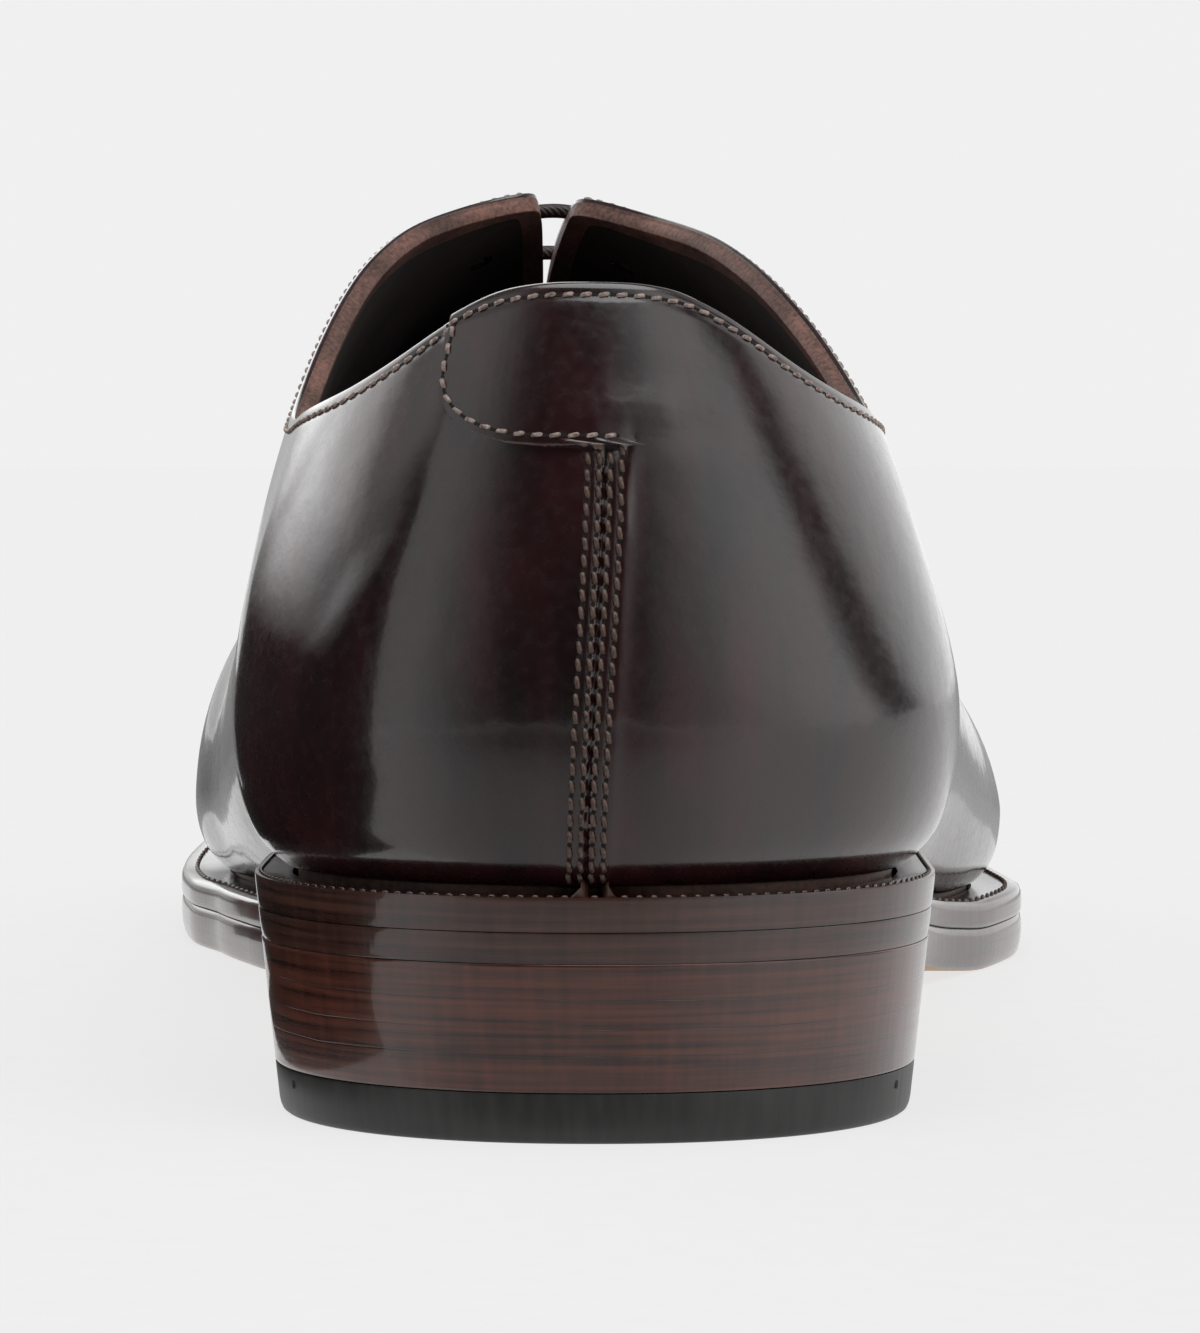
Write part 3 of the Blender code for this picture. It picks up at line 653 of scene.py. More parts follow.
def sole_edge(side, u):
    """Point of the welt's edge, from above."""
    return np.array(sole_edge_at(side, u))


@functools.lru_cache(None)
def outward_at(side, u):
    """The way out as a plain pair, which can be kept."""
    if u <= 0:
        return 0.0, -1.0
    if u >= 3:
        return 0.0, 1.0
    step = 0.004
    ahead = sole_edge(side, min(u + step, 3.0)) - sole_edge(side, max(u - step, 0.0))
    normal = np.array([ahead[1], -ahead[0]]) * side
    return tuple(normal / np.linalg.norm(normal))


def outward(side, u):
    """Direction straight out from the welt's edge, from above."""
    return np.array(outward_at(side, u))


def underside_height(s):
    """Height of the outsole's underside above the floor."""
    return (TOP_PIECE + LIFTS * LIFT) * arch(s) + TOE_SPRING * spring(s)


def outsole_thickness(s):
    """The outsole is thicker ahead than over the heel."""
    return OUTSOLE_HEEL + (OUTSOLE_FORE - OUTSOLE_HEEL) * blend(s, THICKENING)


def outsole_top(s):
    """Height of the outsole's upper side."""
    return underside_height(s) + outsole_thickness(s)


def welt_top(s):
    """Height of the welt's upper side."""
    return outsole_top(s) + CLEARANCE + WELT


def margin(s):
    """Width of welt outside the upper."""
    waist = HEEL_MARGIN + (WAIST_MARGIN - HEEL_MARGIN) * blend(s, WAIST_FLARE)
    return waist + (FORE_MARGIN - WAIST_MARGIN) * blend(s, FORE_FLARE)


def heel_inset(s, z):
    """How far the heel's tapered wall lies inside the seat's edge at height z. It ends at the breast."""
    return HEEL_TAPER * (1 - z / welt_top(0)) * (1 - ease((s - share(BREAST)) / TAPER_FADE))


def crest_y(y):
    """The crest leans away from the heel's back and the toe's tip."""
    from_back = HEEL_LEAN * max(1 - (y - BACK) / HEEL_LENGTH, 0.0)
    to_tip = (FORE_MARGIN + NOSE_SLOPE) * max((y - BODY_TO) / (TIP - BODY_TO), 0.0) ** 2
    return y + from_back - to_tip


@functools.lru_cache(None)
def bones(side, u):
    """Foot, belly and crest of the upper's outside at a station, and the section's power between them."""
    y = station(u)
    s = share(y)
    out = outward(side, u)
    ground = welt_top(s) + CLEARANCE
    foot = sole_edge(side, u) - margin(s) * out
    belly = foot + belly_out[side](s) * HEEL_WIDTH * out
    up = ground + belly_up[side](s) * INSTEP_HEIGHT
    crest = (crest_shift(s) * BALL_WIDTH, crest_y(y), ground + crest_height(s) * INSTEP_HEIGHT)
    return np.array([*foot, ground]), np.array([*belly, up]), np.array(crest), belly_power[side](s)


def softened(power, turn):
    """The section's power, brought to 2 close to the belly and the crest, where the last is plainly round."""
    away = math.sin(2 * turn) ** 2
    return 2 + (power - 2) * away / (away + END_ROUND)


def above_belly(side, u, turn):
    """Point of the outside between the belly (turn 0) and the crest (turn a right angle)."""
    _, belly, crest, power = bones(side, u)
    turn = min(max(turn, 0.0), math.pi / 2)
    power = softened(power, turn)
    across = max(math.cos(turn), 0.0) ** (2 / power)
    rise = math.sin(turn) ** (2 / power)
    flat = crest[:2] + (belly[:2] - crest[:2]) * across
    return np.array([*flat, belly[2] + (crest[2] - belly[2]) * rise])


def below_belly(side, u, rise):
    """Point of the outside between the foot (rise 0) and the belly (rise 1)."""
    foot, belly, _, _ = bones(side, u)
    point = foot + (belly - foot) * (1 - (1 - rise) ** 2)
    point[2] = foot[2] + (belly[2] - foot[2]) * rise
    low = max(1 - (point[2] - foot[2]) / FEATHER_HIGH, 0.0)
    point[:2] -= outward(side, u) * FEATHER_IN * low * low
    return point


def skin(side, u, v):
    """Point of the outside: v is below zero under the belly, and the turn above it."""
    if v < 0:
        return below_belly(side, u, 1 + v)
    return above_belly(side, u, v)


def find_turn(measure, wanted, high=math.pi / 2, halvings=30):
    """The turn, up to high, at which a rising measure of the section reaches the wanted value."""
    low = 0.0
    for _ in range(halvings):
        middle = (low + high) / 2
        if measure(middle) < wanted:
            low = middle
        else:
            high = middle
    return high


def turn_at_height(side, u, z):
    """The turn at which a station's outside has height z, carried on past the crest for greater heights."""
    past = max(z - bones(side, u)[2][2], 0.0) / PAST_CREST
    return find_turn(lambda turn: above_belly(side, u, turn)[2], z) + past


def turn_at_offset(side, u, offset):
    """The turn at which a station's outside lies a distance offset from the crest."""
    crest = bones(side, u)[2][:2]
    return find_turn(lambda turn: -np.linalg.norm(above_belly(side, u, turn)[:2] - crest), -offset)


def collar_height(side, u):
    """Height of the collar's cut edge."""
    s = share(station(u))
    return welt_top(s) + CLEARANCE + collar[side](s) * BACK_HEIGHT


def throat_half(y):
    """Half the gap between the facings, widest at their top."""
    open_part = min(max(1 - (y - THROAT_TOP) / THROAT_CLOSES, 0.0), THROAT_OPENS) ** THROAT_CURVE
    return (THROAT_SLIT + (THROAT_GAP - THROAT_SLIT) * open_part) / 2


@functools.lru_cache(None)
def top_turn(side, u):
    """The turn at which the leather ends, at the collar or the throat, with the facing's corner rounded."""
    y = station(u)
    if y >= THROAT_FOOT - TINY:
        return math.pi / 2
    at_collar = turn_at_height(side, u, collar_height(side, u))
    at_throat = turn_at_offset(side, u, throat_half(y))
    gap = (at_throat - at_collar) / FACING_ROUND
    return at_throat - FACING_ROUND * math.log1p(math.exp(min(gap, LARGEST_POWER)))


def unit(vector):
    """The vector at a length of one."""
    return vector / max(np.linalg.norm(vector), 1e-12)


def frame_at(side, u, v):
    """The outside's unit normal and its upward tangent along the section."""
    step, end = 0.004, 0.012
    near = min(max(u, end), 3 - end)
    along = skin(side, near + step, v) - skin(side, near - step, v)
    low, high = (v - step, v + step) if v < math.pi / 2 - step else (v - 2 * step, v - step / 2)
    upward = skin(side, near, high) - skin(side, near, low)
    normal = unit(np.cross(along, upward) * side)
    if u != near:
        normal[0] = 0.0
        upward[0] = 0.0
        normal = unit(normal)
    return normal, unit(upward)


def linear(colour):
    """An sRGB hex colour as linear RGBA."""
    parts = [int(colour[k : k + 2], 16) / 255 for k in (1, 3, 5)]
    return (*(c / 12.92 if c <= 0.04045 else ((c + 0.055) / 1.055) ** 2.4 for c in parts), 1.0)


def hexes(colour):
    """A colour property as linear RGBA: the property itself holds sRGB values."""
    return linear("#" + "".join(f"{round(c * 255):02x}" for c in colour))


def srgb(colour):
    """An sRGB hex colour as the three values that a colour property holds."""
    return tuple(int(colour[k : k + 2], 16) / 255 for k in (1, 3, 5))


def add_node(tree, kind, inputs=None, stops=(), **settings):
    """Adds a node with its settings, its links and, on a ramp, its stops.

    inputs: socket name or number to a value, to an output, or to a node, which gives its first output.
    """
    made = tree.nodes.new("ShaderNode" + kind)
    for name, value in settings.items():
        setattr(made, name, value)
    for name, value in (inputs or {}).items():
        if isinstance(value, bpy.types.Node):
            value = value.outputs[0]
        if isinstance(value, bpy.types.NodeSocket):
            tree.links.new(value, made.inputs[name])
        else:
            made.inputs[name].default_value = value
    for number, (where, colour) in enumerate(stops):
        points = made.color_ramp.elements
        point = points[number] if number < len(points) else points.new(where)
        point.position, point.color = where, colour
    return made


def grey_stops(rows, low, span):
    """Stops of a ramp from a table of places and grey values. The places run over span from low."""
    return [((place - low) / span, (grey, grey, grey, 1.0)) for place, grey in rows]


def turn_of(tree, parts):
    """The turn of a direction round from the camera to its right, in radians."""
    back = add_node(tree, "Math", {0: parts.outputs["Y"], 1: -1.0}, operation="MULTIPLY")
    return add_node(tree, "Math", {0: parts.outputs["X"], 1: back}, operation="ARCTAN2")


def new_material(name):
    """An empty material, with its tree and the object's own coordinates in metres."""
    material = bpy.data.materials.new(name)
    material.use_nodes = True
    tree = material.node_tree
    tree.nodes.clear()
    return material, tree, add_node(tree, "TexCoord").outputs["Object"]


def polished_calf(look):
    """Box calf, aniline dyed and waxed to a shine. The eye gets a glassy film over a fine, barely broken
    grain, and under it dye that pooled unevenly: a deep burgundy brown with broad soft reflections."""
    material, tree, place = new_material("polished_calf")
    cloud = add_node(tree, "TexNoise", {"Vector": place, "Scale": 1 / (35 * MM), "Detail": 5.0})
    strokes = add_node(tree, "VectorMath", {0: place, 1: (4 * MM, 12 * MM, 16 * MM)}, operation="DIVIDE")
    brush = add_node(tree, "TexNoise", {"Vector": strokes, "Scale": 1.0, "Detail": 3.0})
    dye = add_node(tree, "Math", {0: cloud, 1: brush}, operation="MULTIPLY")
    shades = ((0.12, hexes(look.calf_dark)), (0.42, hexes(look.calf_glow)))
    colour = add_node(tree, "ValToRGB", {"Fac": dye}, shades)
    grain = add_node(tree, "TexVoronoi", {"Vector": place, "Scale": 1 / look.grain}, feature="SMOOTH_F1")
    pores = add_node(tree, "TexNoise", {"Vector": place, "Scale": 1 / (1.1 * MM), "Detail": 2.0})
    hand = add_node(tree, "TexNoise", {"Vector": place, "Scale": 1 / (7.5 * MM), "Detail": 2.0})
    wax = add_node(
        tree, "MapRange", {"Value": pores, "From Min": 0.3, "From Max": 0.7, "To Min": 0.20, "To Max": 0.30}
    )
    waves = add_node(tree, "Bump", {"Height": hand, "Distance": 0.10 * MM})
    pitted = add_node(tree, "Bump", {"Height": pores, "Distance": 0.010 * MM, "Normal": waves})
    cells = add_node(tree, "Bump", {"Height": grain, "Distance": 0.010 * MM, "Normal": pitted})
    film = add_node(tree, "Bump", {"Height": pores, "Distance": 0.006 * MM, "Normal": waves})
    shader = add_node(
        tree, "BsdfPrincipled",
        {"Base Color": colour, "Roughness": wax, "IOR": 1.5, "Normal": cells, "Coat Weight": 0.9,
         "Coat Roughness": 0.10, "Coat IOR": 1.5, "Coat Normal": film},
    )
    add_node(tree, "OutputMaterial", {"Surface": shader})
    return material


def soft_leather(name, dark, light, roughness, nap, fuzz):
    """Unpolished lining leather. The eye gets a matt, slightly velvety face whose nap catches the light
    unevenly."""
    material, tree, place = new_material(name)
    cloud = add_node(tree, "TexNoise", {"Vector": place, "Scale": 1 / (9 * MM), "Detail": 6.0})
    fibre = add_node(tree, "TexNoise", {"Vector": place, "Scale": 1 / nap, "Detail": 4.0})
    both = add_node(tree, "Math", {0: cloud, 1: fibre}, operation="MULTIPLY")
    colour = add_node(tree, "ValToRGB", {"Fac": both}, ((0.14, linear(dark)), (0.38, linear(light))))
    matt = add_node(
        tree, "MapRange", {"Value": fibre, "To Min": roughness - 0.1, "To Max": roughness + 0.12}
    )
    soft = add_node(tree, "Bump", {"Height": cloud, "Distance": 0.20 * MM})
    napped = add_node(tree, "Bump", {"Height": fibre, "Distance": 0.08 * MM, "Normal": soft})
    shader = add_node(
        tree, "BsdfPrincipled",
        {"Base Color": colour, "Roughness": matt, "IOR": 1.45, "Normal": napped, "Sheen Weight": fuzz,
         "Sheen Roughness": 0.5},
    )
    add_node(tree, "OutputMaterial", {"Surface": shader})
    return material


def burnished_leather(name, dark, light, joins=(), low=0.0, high=1.0):
    """Sole leather cut across its fibres, sanded, inked and ironed with wax. The eye gets a hard satin wall
    with fine level lines from its layers, faint upright streaks from the iron, and where two lifts meet a
    thin dark line that wanders and comes and goes. joins: their shares of the height from low to high."""
    material, tree, place = new_material(name)
    layers = add_node(tree, "VectorMath", {0: place, 1: (28 * MM, 28 * MM, 0.7 * MM)}, operation="DIVIDE")
    fibres = add_node(tree, "TexNoise", {"Vector": layers, "Scale": 1.0, "Detail": 6.0})
    strokes = add_node(tree, "VectorMath", {0: place, 1: (1.1 * MM, 1.1 * MM, 12 * MM)}, operation="DIVIDE")
    iron = add_node(tree, "TexNoise", {"Vector": strokes, "Scale": 1.0, "Detail": 3.0})
    both = add_node(tree, "Mix", {0: 0.25, 2: fibres, 3: iron})
    wall = add_node(tree, "ValToRGB", {"Fac": both}, ((0.36, dark), (0.64, light)))
    satin = add_node(tree, "MapRange", {"Value": fibres, "To Min": 0.18, "To Max": 0.42})
    ironed = add_node(tree, "Bump", {"Height": iron, "Distance": 0.03 * MM})
    ribbed = add_node(tree, "Bump", {"Height": fibres, "Distance": 0.04 * MM, "Normal": ironed})
    if joins:
        parts = add_node(tree, "SeparateXYZ", {"Vector": place})
        bends = add_node(tree, "VectorMath", {0: place, 1: (11 * MM, 11 * MM, 50 * MM)}, operation="DIVIDE")
        wander = add_node(tree, "TexNoise", {"Vector": bends, "Scale": 1.0, "Detail": 3.0})
        drift = add_node(tree, "MapRange", {"Value": wander, "To Min": -0.3 * MM, "To Max": 0.3 * MM})
        level = add_node(tree, "Math", {0: parts.outputs["Z"], 1: drift}, operation="ADD")
        share_up = add_node(tree, "MapRange", {"Value": level, "From Min": low, "From Max": high})
        thin = 0.09 * MM / (high - low)
        white, black = (1.0, 1.0, 1.0, 1.0), (0.0, 0.0, 0.0, 1.0)
        stops = [(0.0, white)]
        for join in joins:
            stops += [(join - thin, white), (join, black), (join + thin, white)]
        lines = add_node(tree, "ValToRGB", {"Fac": share_up}, stops)
        spots = add_node(tree, "VectorMath", {0: place, 1: (9 * MM, 9 * MM, 1.2 * MM)}, operation="DIVIDE")
        patchy = add_node(tree, "TexNoise", {"Vector": spots, "Scale": 1.0, "Detail": 1.0})
        faint = add_node(
            tree, "MapRange",
            {"Value": patchy, "From Min": 0.3, "From Max": 0.7, "To Min": 0.9, "To Max": 0.15},
        )
        clear = add_node(tree, "Math", {0: lines, 1: faint}, operation="MAXIMUM")
        inked = add_node(tree, "Mix", {0: clear, 6: linear("#0d0605"), 7: wall}, data_type="RGBA")
        wall = inked.outputs[2]
        ribbed = add_node(tree, "Bump", {"Height": clear, "Distance": 0.06 * MM, "Normal": ribbed})
    film = add_node(tree, "Bump", {"Height": iron, "Distance": 0.012 * MM})
    shader = add_node(
        tree, "BsdfPrincipled",
        {"Base Color": wall, "Roughness": satin, "IOR": 1.5, "Normal": ribbed, "Coat Weight": 0.8,
         "Coat Roughness": 0.08, "Coat IOR": 1.5, "Coat Normal": film},
    )
    add_node(tree, "OutputMaterial", {"Surface": shader})
    return material


def natural_sole(look):
    """Oak-bark tanned sole leather with its grain left natural. The eye gets a pale, faintly mottled tan
    with a satin face."""
    material, tree, place = new_material("natural_sole_leather")
    cloud = add_node(tree, "TexNoise", {"Vector": place, "Scale": 1 / (18 * MM), "Detail": 7.0})
    cells = add_node(tree, "TexVoronoi", {"Vector": place, "Scale": 1 / (1.2 * MM)})
    shades = ((0.3, linear("#9c7449")), (0.7, hexes(look.sole_tan)))
    colour = add_node(tree, "ValToRGB", {"Fac": cloud}, shades)
    uneven = add_node(tree, "Bump", {"Height": cloud, "Distance": 0.20 * MM})
    grained = add_node(tree, "Bump", {"Height": cells, "Distance": 0.04 * MM, "Normal": uneven})
    shader = add_node(
        tree, "BsdfPrincipled", {"Base Color": colour, "Roughness": 0.45, "IOR": 1.5, "Normal": grained}
    )
    add_node(tree, "OutputMaterial", {"Surface": shader})
    return material


def waxed_thread(name, dark, light):
    """Waxed linen thread, twisted hard and a little glossy. Noise spreads its colour from painted shade in
    the gaps to a painted highlight on the ribs.
    """
    material, tree, place = new_material(name)
    fibre = add_node(tree, "TexNoise", {"Vector": place, "Scale": 1 / (0.4 * MM), "Detail": 3.0})
    # from the shade tone in the gaps to the painted highlight on the ribs
    colour = add_node(tree, "ValToRGB", {"Fac": fibre}, ((0.3, hexes(dark)), (0.7, hexes(light))))
    twist = add_node(tree, "Bump", {"Height": fibre, "Distance": 0.06 * MM})
    shader = add_node(
        tree, "BsdfPrincipled",
        {"Base Color": colour, "Roughness": 0.5, "IOR": 1.45, "Normal": twist, "Coat Weight": 0.35,
         "Coat Roughness": 0.3},
    )
    add_node(tree, "OutputMaterial", {"Surface": shader})
    return material


def hole_shade_and_pins():
    """Painted shade of a hole pricked in leather: near black, with a trace of brown fibre. The heel's pins
    are drawn in it too.
    """
    material, tree, place = new_material("hole_shade_and_pins")
    fibre = add_node(tree, "TexNoise", {"Vector": place, "Scale": 1 / (0.3 * MM), "Detail": 2.0})
    shades = ((0.3, linear("#0b0605")), (0.8, linear("#1c110e")))
    colour = add_node(tree, "ValToRGB", {"Fac": fibre}, shades)
    shader = add_node(tree, "BsdfPrincipled", {"Base Color": colour, "Roughness": 0.9})
    add_node(tree, "OutputMaterial", {"Surface": shader})
    return material


def braided_cord(look):
    """A round waxed cotton lace. The eye gets a tight braid in small diamonds, dark and a little glossy."""
    material, tree, place = new_material("braided_cord")
    plait = 0.6 * MM
    strands = add_node(tree, "VectorMath", {0: place, 1: (plait, plait, plait)}, operation="DIVIDE")
    braid = add_node(
        tree, "TexWave", {"Vector": strands, "Scale": 0.5, "Distortion": 0.6}, bands_direction="DIAGONAL"
    )
    worn = add_node(tree, "TexNoise", {"Vector": place, "Scale": 1 / (2 * MM), "Detail": 2.0})
    colour = add_node(
        tree, "ValToRGB", {"Fac": worn}, ((0.3, hexes(look.lace)), (0.8, linear("#3a2826")))
    )
    ribs = add_node(tree, "Bump", {"Height": braid.outputs["Fac"], "Distance": 0.12 * MM})
    shader = add_node(
        tree, "BsdfPrincipled",
        {"Base Color": colour, "Roughness": 0.5, "IOR": 1.45, "Normal": ribs, "Coat Weight": 0.25},
    )
    add_node(tree, "OutputMaterial", {"Surface": shader})
    return material


def heel_rubber(look):
    """Moulded vulcanised rubber, sanded flush with the heel. The eye gets a dull charcoal with fine
    upright sanding lines."""
    material, tree, place = new_material("heel_rubber")
    strokes = add_node(tree, "VectorMath", {0: place, 1: (1.2 * MM, 1.2 * MM, 10 * MM)}, operation="DIVIDE")
    sanding = add_node(tree, "TexNoise", {"Vector": strokes, "Scale": 1.0, "Detail": 4.0})
    shades = ((0.25, linear("#131211")), (0.75, hexes(look.rubber)))
    colour = add_node(tree, "ValToRGB", {"Fac": sanding}, shades)
    dull = add_node(tree, "MapRange", {"Value": sanding, "To Min": 0.36, "To Max": 0.52})
    lines = add_node(tree, "Bump", {"Height": sanding, "Distance": 0.03 * MM})
    shader = add_node(
        tree, "BsdfPrincipled", {"Base Color": colour, "Roughness": dull, "IOR": 1.5, "Normal": lines}
    )
    add_node(tree, "OutputMaterial", {"Surface": shader})
    return material


def light_table(look):
    """Opal acrylic of a light table, sanded matt and lit from below as well as above. The eye gets a plain
    pale ground with a barely visible fleck, no gloss and only faint shadows."""
    material, tree, place = new_material("opal_acrylic")
    fleck = add_node(tree, "TexNoise", {"Vector": place, "Scale": 1 / (4 * MM), "Detail": 3.0})
    colour = add_node(
        tree, "ValToRGB", {"Fac": fleck}, ((0.3, linear("#5c5c5c")), (0.7, linear("#606060")))
    )
    shader = add_node(
        tree, "BsdfPrincipled",
        {"Base Color": colour, "Roughness": 0.9, "Specular IOR Level": 0.0,
         "Emission Color": linear("#ffffff"), "Emission Strength": look.table},
    )
    add_node(tree, "OutputMaterial", {"Surface": shader})
    return material


def felt(name, cover):
    """Black felt, which takes the light from a part of what the polished leather mirrors. cover gives how
    much of it shows, so that its mirrored edges are soft."""
    material, tree, place = new_material(name)
    fibre = add_node(tree, "TexNoise", {"Vector": place, "Scale": 1 / (1 * MM), "Detail": 2.0})
    shades = ((0.3, linear("#050505")), (0.8, linear("#101010")))
    colour = add_node(tree, "ValToRGB", {"Fac": fibre}, shades)
    parts = add_node(tree, "SeparateXYZ", {"Vector": place})
    shows = cover(tree, place, parts)
    shader = add_node(tree, "BsdfPrincipled", {"Base Color": colour, "Roughness": 0.9, "Alpha": shows})
    add_node(tree, "OutputMaterial", {"Surface": shader})
    return material


def card_cover(tree, place, parts):
    """The card's top edge slopes down away from the camera, and thins out."""
    top = add_node(
        tree, "MapRange",
        {"Value": parts.outputs["Y"], "From Min": CARD_FROM, "From Max": CARD_SLOPES_TO,
         "To Min": CARD_TALL, "To Max": CARD_LOW},
    )
    above = add_node(tree, "Math", {0: parts.outputs["Z"], 1: top}, operation="SUBTRACT")
    return add_node(
        tree, "MapRange",
        {"Value": above, "From Min": -CARD_SOFT, "From Max": CARD_SOFT, "To Min": 1.0, "To Max": 0.0},
    )


def runner_cover(tree, place, parts):
    """The runner carries the dark between the soft boxes on down into the lower half of what the heel
    mirrors. It is thin near the shoe and denser further off."""
    turn = turn_of(tree, parts)
    degrees = add_node(tree, "MapRange", {"Value": turn, "From Min": -math.pi, "From Max": math.pi})
    spread = add_node(tree, "ValToRGB", {"Fac": degrees}, grey_stops(RUNNER, -180, 360))
    reach = add_node(tree, "VectorMath", {0: place}, operation="LENGTH").outputs["Value"]
    dense = add_node(
        tree, "MapRange",
        {"Value": reach, "From Min": RUNNER_NEAR, "From Max": RUNNER_FAR, "To Min": RUNNER_THIN,
         "To Max": RUNNER_DENSE},
    )
    return add_node(tree, "Math", {0: spread, 1: dense}, operation="MULTIPLY")


def linked(name, data):
    """An object of the data, in the scene."""
    thing = bpy.data.objects.new(name, data)
    bpy.context.scene.collection.objects.link(thing)
    return thing


def raw_mesh(name, points, faces, materials=(), slots=None):
    """A mesh from points and faces. slots: the material's number for each face."""
    mesh = bpy.data.meshes.new(name)
    mesh.from_pydata([tuple(p) for p in points], [], [tuple(f) for f in faces])
    for material in materials:
        mesh.materials.append(material)
    if slots is not None:
        mesh.polygons.foreach_set("material_index", slots)
    return mesh


def weld(mesh):
    """Joins doubled points, turns the faces outward and shades them smooth."""
    work = bmesh.new()
    work.from_mesh(mesh)
    bmesh.ops.remove_doubles(work, verts=work.verts, dist=SAME_POINT)
    bmesh.ops.recalc_face_normals(work, faces=work.faces)
    work.to_mesh(mesh)
    work.free()
    mesh.shade_smooth()


def mesh_piece(name, points, faces, materials=(), slots=None, sharp=None):
    """A welded mesh object. sharp: the angle in degrees from which its edges are shaded as edges."""
    mesh = raw_mesh(name, points, faces, materials, slots)
    weld(mesh)
    if sharp:
        mesh.set_sharp_from_angle(angle=math.radians(sharp))
    return linked(name, mesh)


def face_up(mesh):
    """Turns an open sheet so that it faces up."""
    if sum(p.normal.z for p in mesh.polygons) < 0:
        mesh.flip_normals()


def grid_faces(lines, size):
    """Faces of a grid of points, which stand line after line, size points in each."""
    corners = [i * size + k for i in range(lines - 1) for k in range(size - 1)]
    return [(a, a + 1, a + size + 1, a + size) for a in corners]


def read_column(data, name, width=3):
    """One column of mesh data as an array, with a row for each element."""
    values = np.empty(len(data) * width)
    data.foreach_get(name, values)
    return values.reshape(-1, width)


def place_points(mesh, position):
    """Puts a mesh's points where an array says."""
    mesh.vertices.foreach_set("co", position.ravel())
    mesh.update()


def thickened(piece, thickness, softness, angle, inner=0, rim=0):
    """Gives a sheet its thickness, inwards, and rounds the edges sharper than an angle in degrees.
    inner, rim: steps from a face's material to that of its other side and of its cut edge."""
    thick = piece.modifiers.new("thick", "SOLIDIFY")
    thick.thickness = thickness
    thick.offset = -1
    thick.material_offset = inner
    thick.material_offset_rim = rim
    soft = piece.modifiers.new("soft", "BEVEL")
    soft.width = softness
    soft.segments = EDGE_STEPS
    soft.limit_method = "ANGLE"
    soft.angle_limit = math.radians(angle)
    return applied(piece)


def applied(piece):
    """Puts the piece's modifiers into its mesh."""
    graph = bpy.context.evaluated_depsgraph_get()
    mesh = bpy.data.meshes.new_from_object(piece.evaluated_get(graph), depsgraph=graph)
    piece.modifiers.clear()
    piece.data = mesh
    return piece


def take_place(piece, slot, *nodes):
    """Sets the piece on the shoe's one body, in place of its solids."""
    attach(piece, "root")
    if nodes:
        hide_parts(*nodes)
    return piece


def even(count, start=0.0, end=1.0):
    """Even steps from start to end, both ends included."""
    return [start + (end - start) * k / count for k in range(count + 1)]


def upper_stations():
    """Stations of the upper's cage, closer together at the back seam and the facings' corner."""
    heel = [*SEAM_STATIONS, *even(HEEL_STATIONS, HEEL_FROM, 1.0)[:-1]]
    fixed = [station_at(THROAT_FOOT), station_at(THROAT_FOOT + PAST_FOOT)]
    fixed += [station_at(THROAT_TOP + k * FACING_CORNER / 2) for k in CORNER_STATIONS]
    body = even(BODY_STATIONS, 1.0, 2.0)[:-1]
    body = [u for u in body if u == 1 or all(abs(u - f) > LEAST_GAP / BODY_STATIONS for f in fixed)]
    return heel + sorted(body + fixed) + even(TOE_STATIONS, 2.0, 3.0)


def section_rows(side, u):
    """Values of v up one section, closer together near its end at the collar or throat."""
    end = top_turn(side, u)
    turns = [end * k / SECTION_SAMPLES for k in range(SECTION_SAMPLES + 1)]
    samples = [above_belly(side, u, turn) for turn in turns]
    steps = [0.0]
    for a, b in zip(samples, samples[1:]):
        steps.append(steps[-1] + np.linalg.norm(b - a))
    length = steps[-1]
    near = 1 - ease((station(u) - THROAT_FOOT) / EDGE_FADE)
    rows = []
    for k, depth in enumerate(EDGE_ROWS):
        spread = length * (len(EDGE_ROWS) - 1 - k) * VAMP_ROW
        rows.append(length - (depth * near + spread * (1 - near)))
    rest = [rows[0] * k / SIDE_ROWS for k in range(SIDE_ROWS)]
    return [*LOW_ROWS, *(float(np.interp(x, steps, turns)) for x in rest + rows)]


def cage_column(side, u):
    """One section of the upper's skin: up the leather, over the rolled edge and down the lining. With it
    come the distances below the cut edge, minus one inside, and the number of rows of leather."""
    y = station(u)
    rows = section_rows(side, u)
    outer = [skin(side, u, v) for v in rows]
    frames = [frame_at(side, u, v) for v in rows]
    inner = [p - WALL * n for p, (n, _) in zip(outer, frames)]
    for row in range(len(LOW_ROWS)):
        inner[row][2] = max(inner[row][2], outer[0][2] + FOOT_GAP)
    if y >= THROAT_FOOT:
        for ring in (outer, inner):
            ring[-1][0] = bones(side, u)[2][0]
    normal, upward = frames[-1]
    lift = ease((THROAT_TOP + ROLL_FADE[0] - y) / ROLL_FADE[1])
    top, under = outer[-1], inner[-1]
    roll = []
    for inward, rise in ROLLED_EDGE:
        if y >= THROAT_FOOT - TINY:
            roll.append(top + (under - top) * (inward * MM / WALL))
        else:
            roll.append(top - inward * MM * normal + rise * MM * lift * upward)
    depths = [np.linalg.norm(p - top) for p in outer] + [0.0] * CALF_ROLLS
    depths += [-1.0] * (len(roll) - CALF_ROLLS + len(inner))
    return outer + roll + inner[::-1], depths, len(outer)


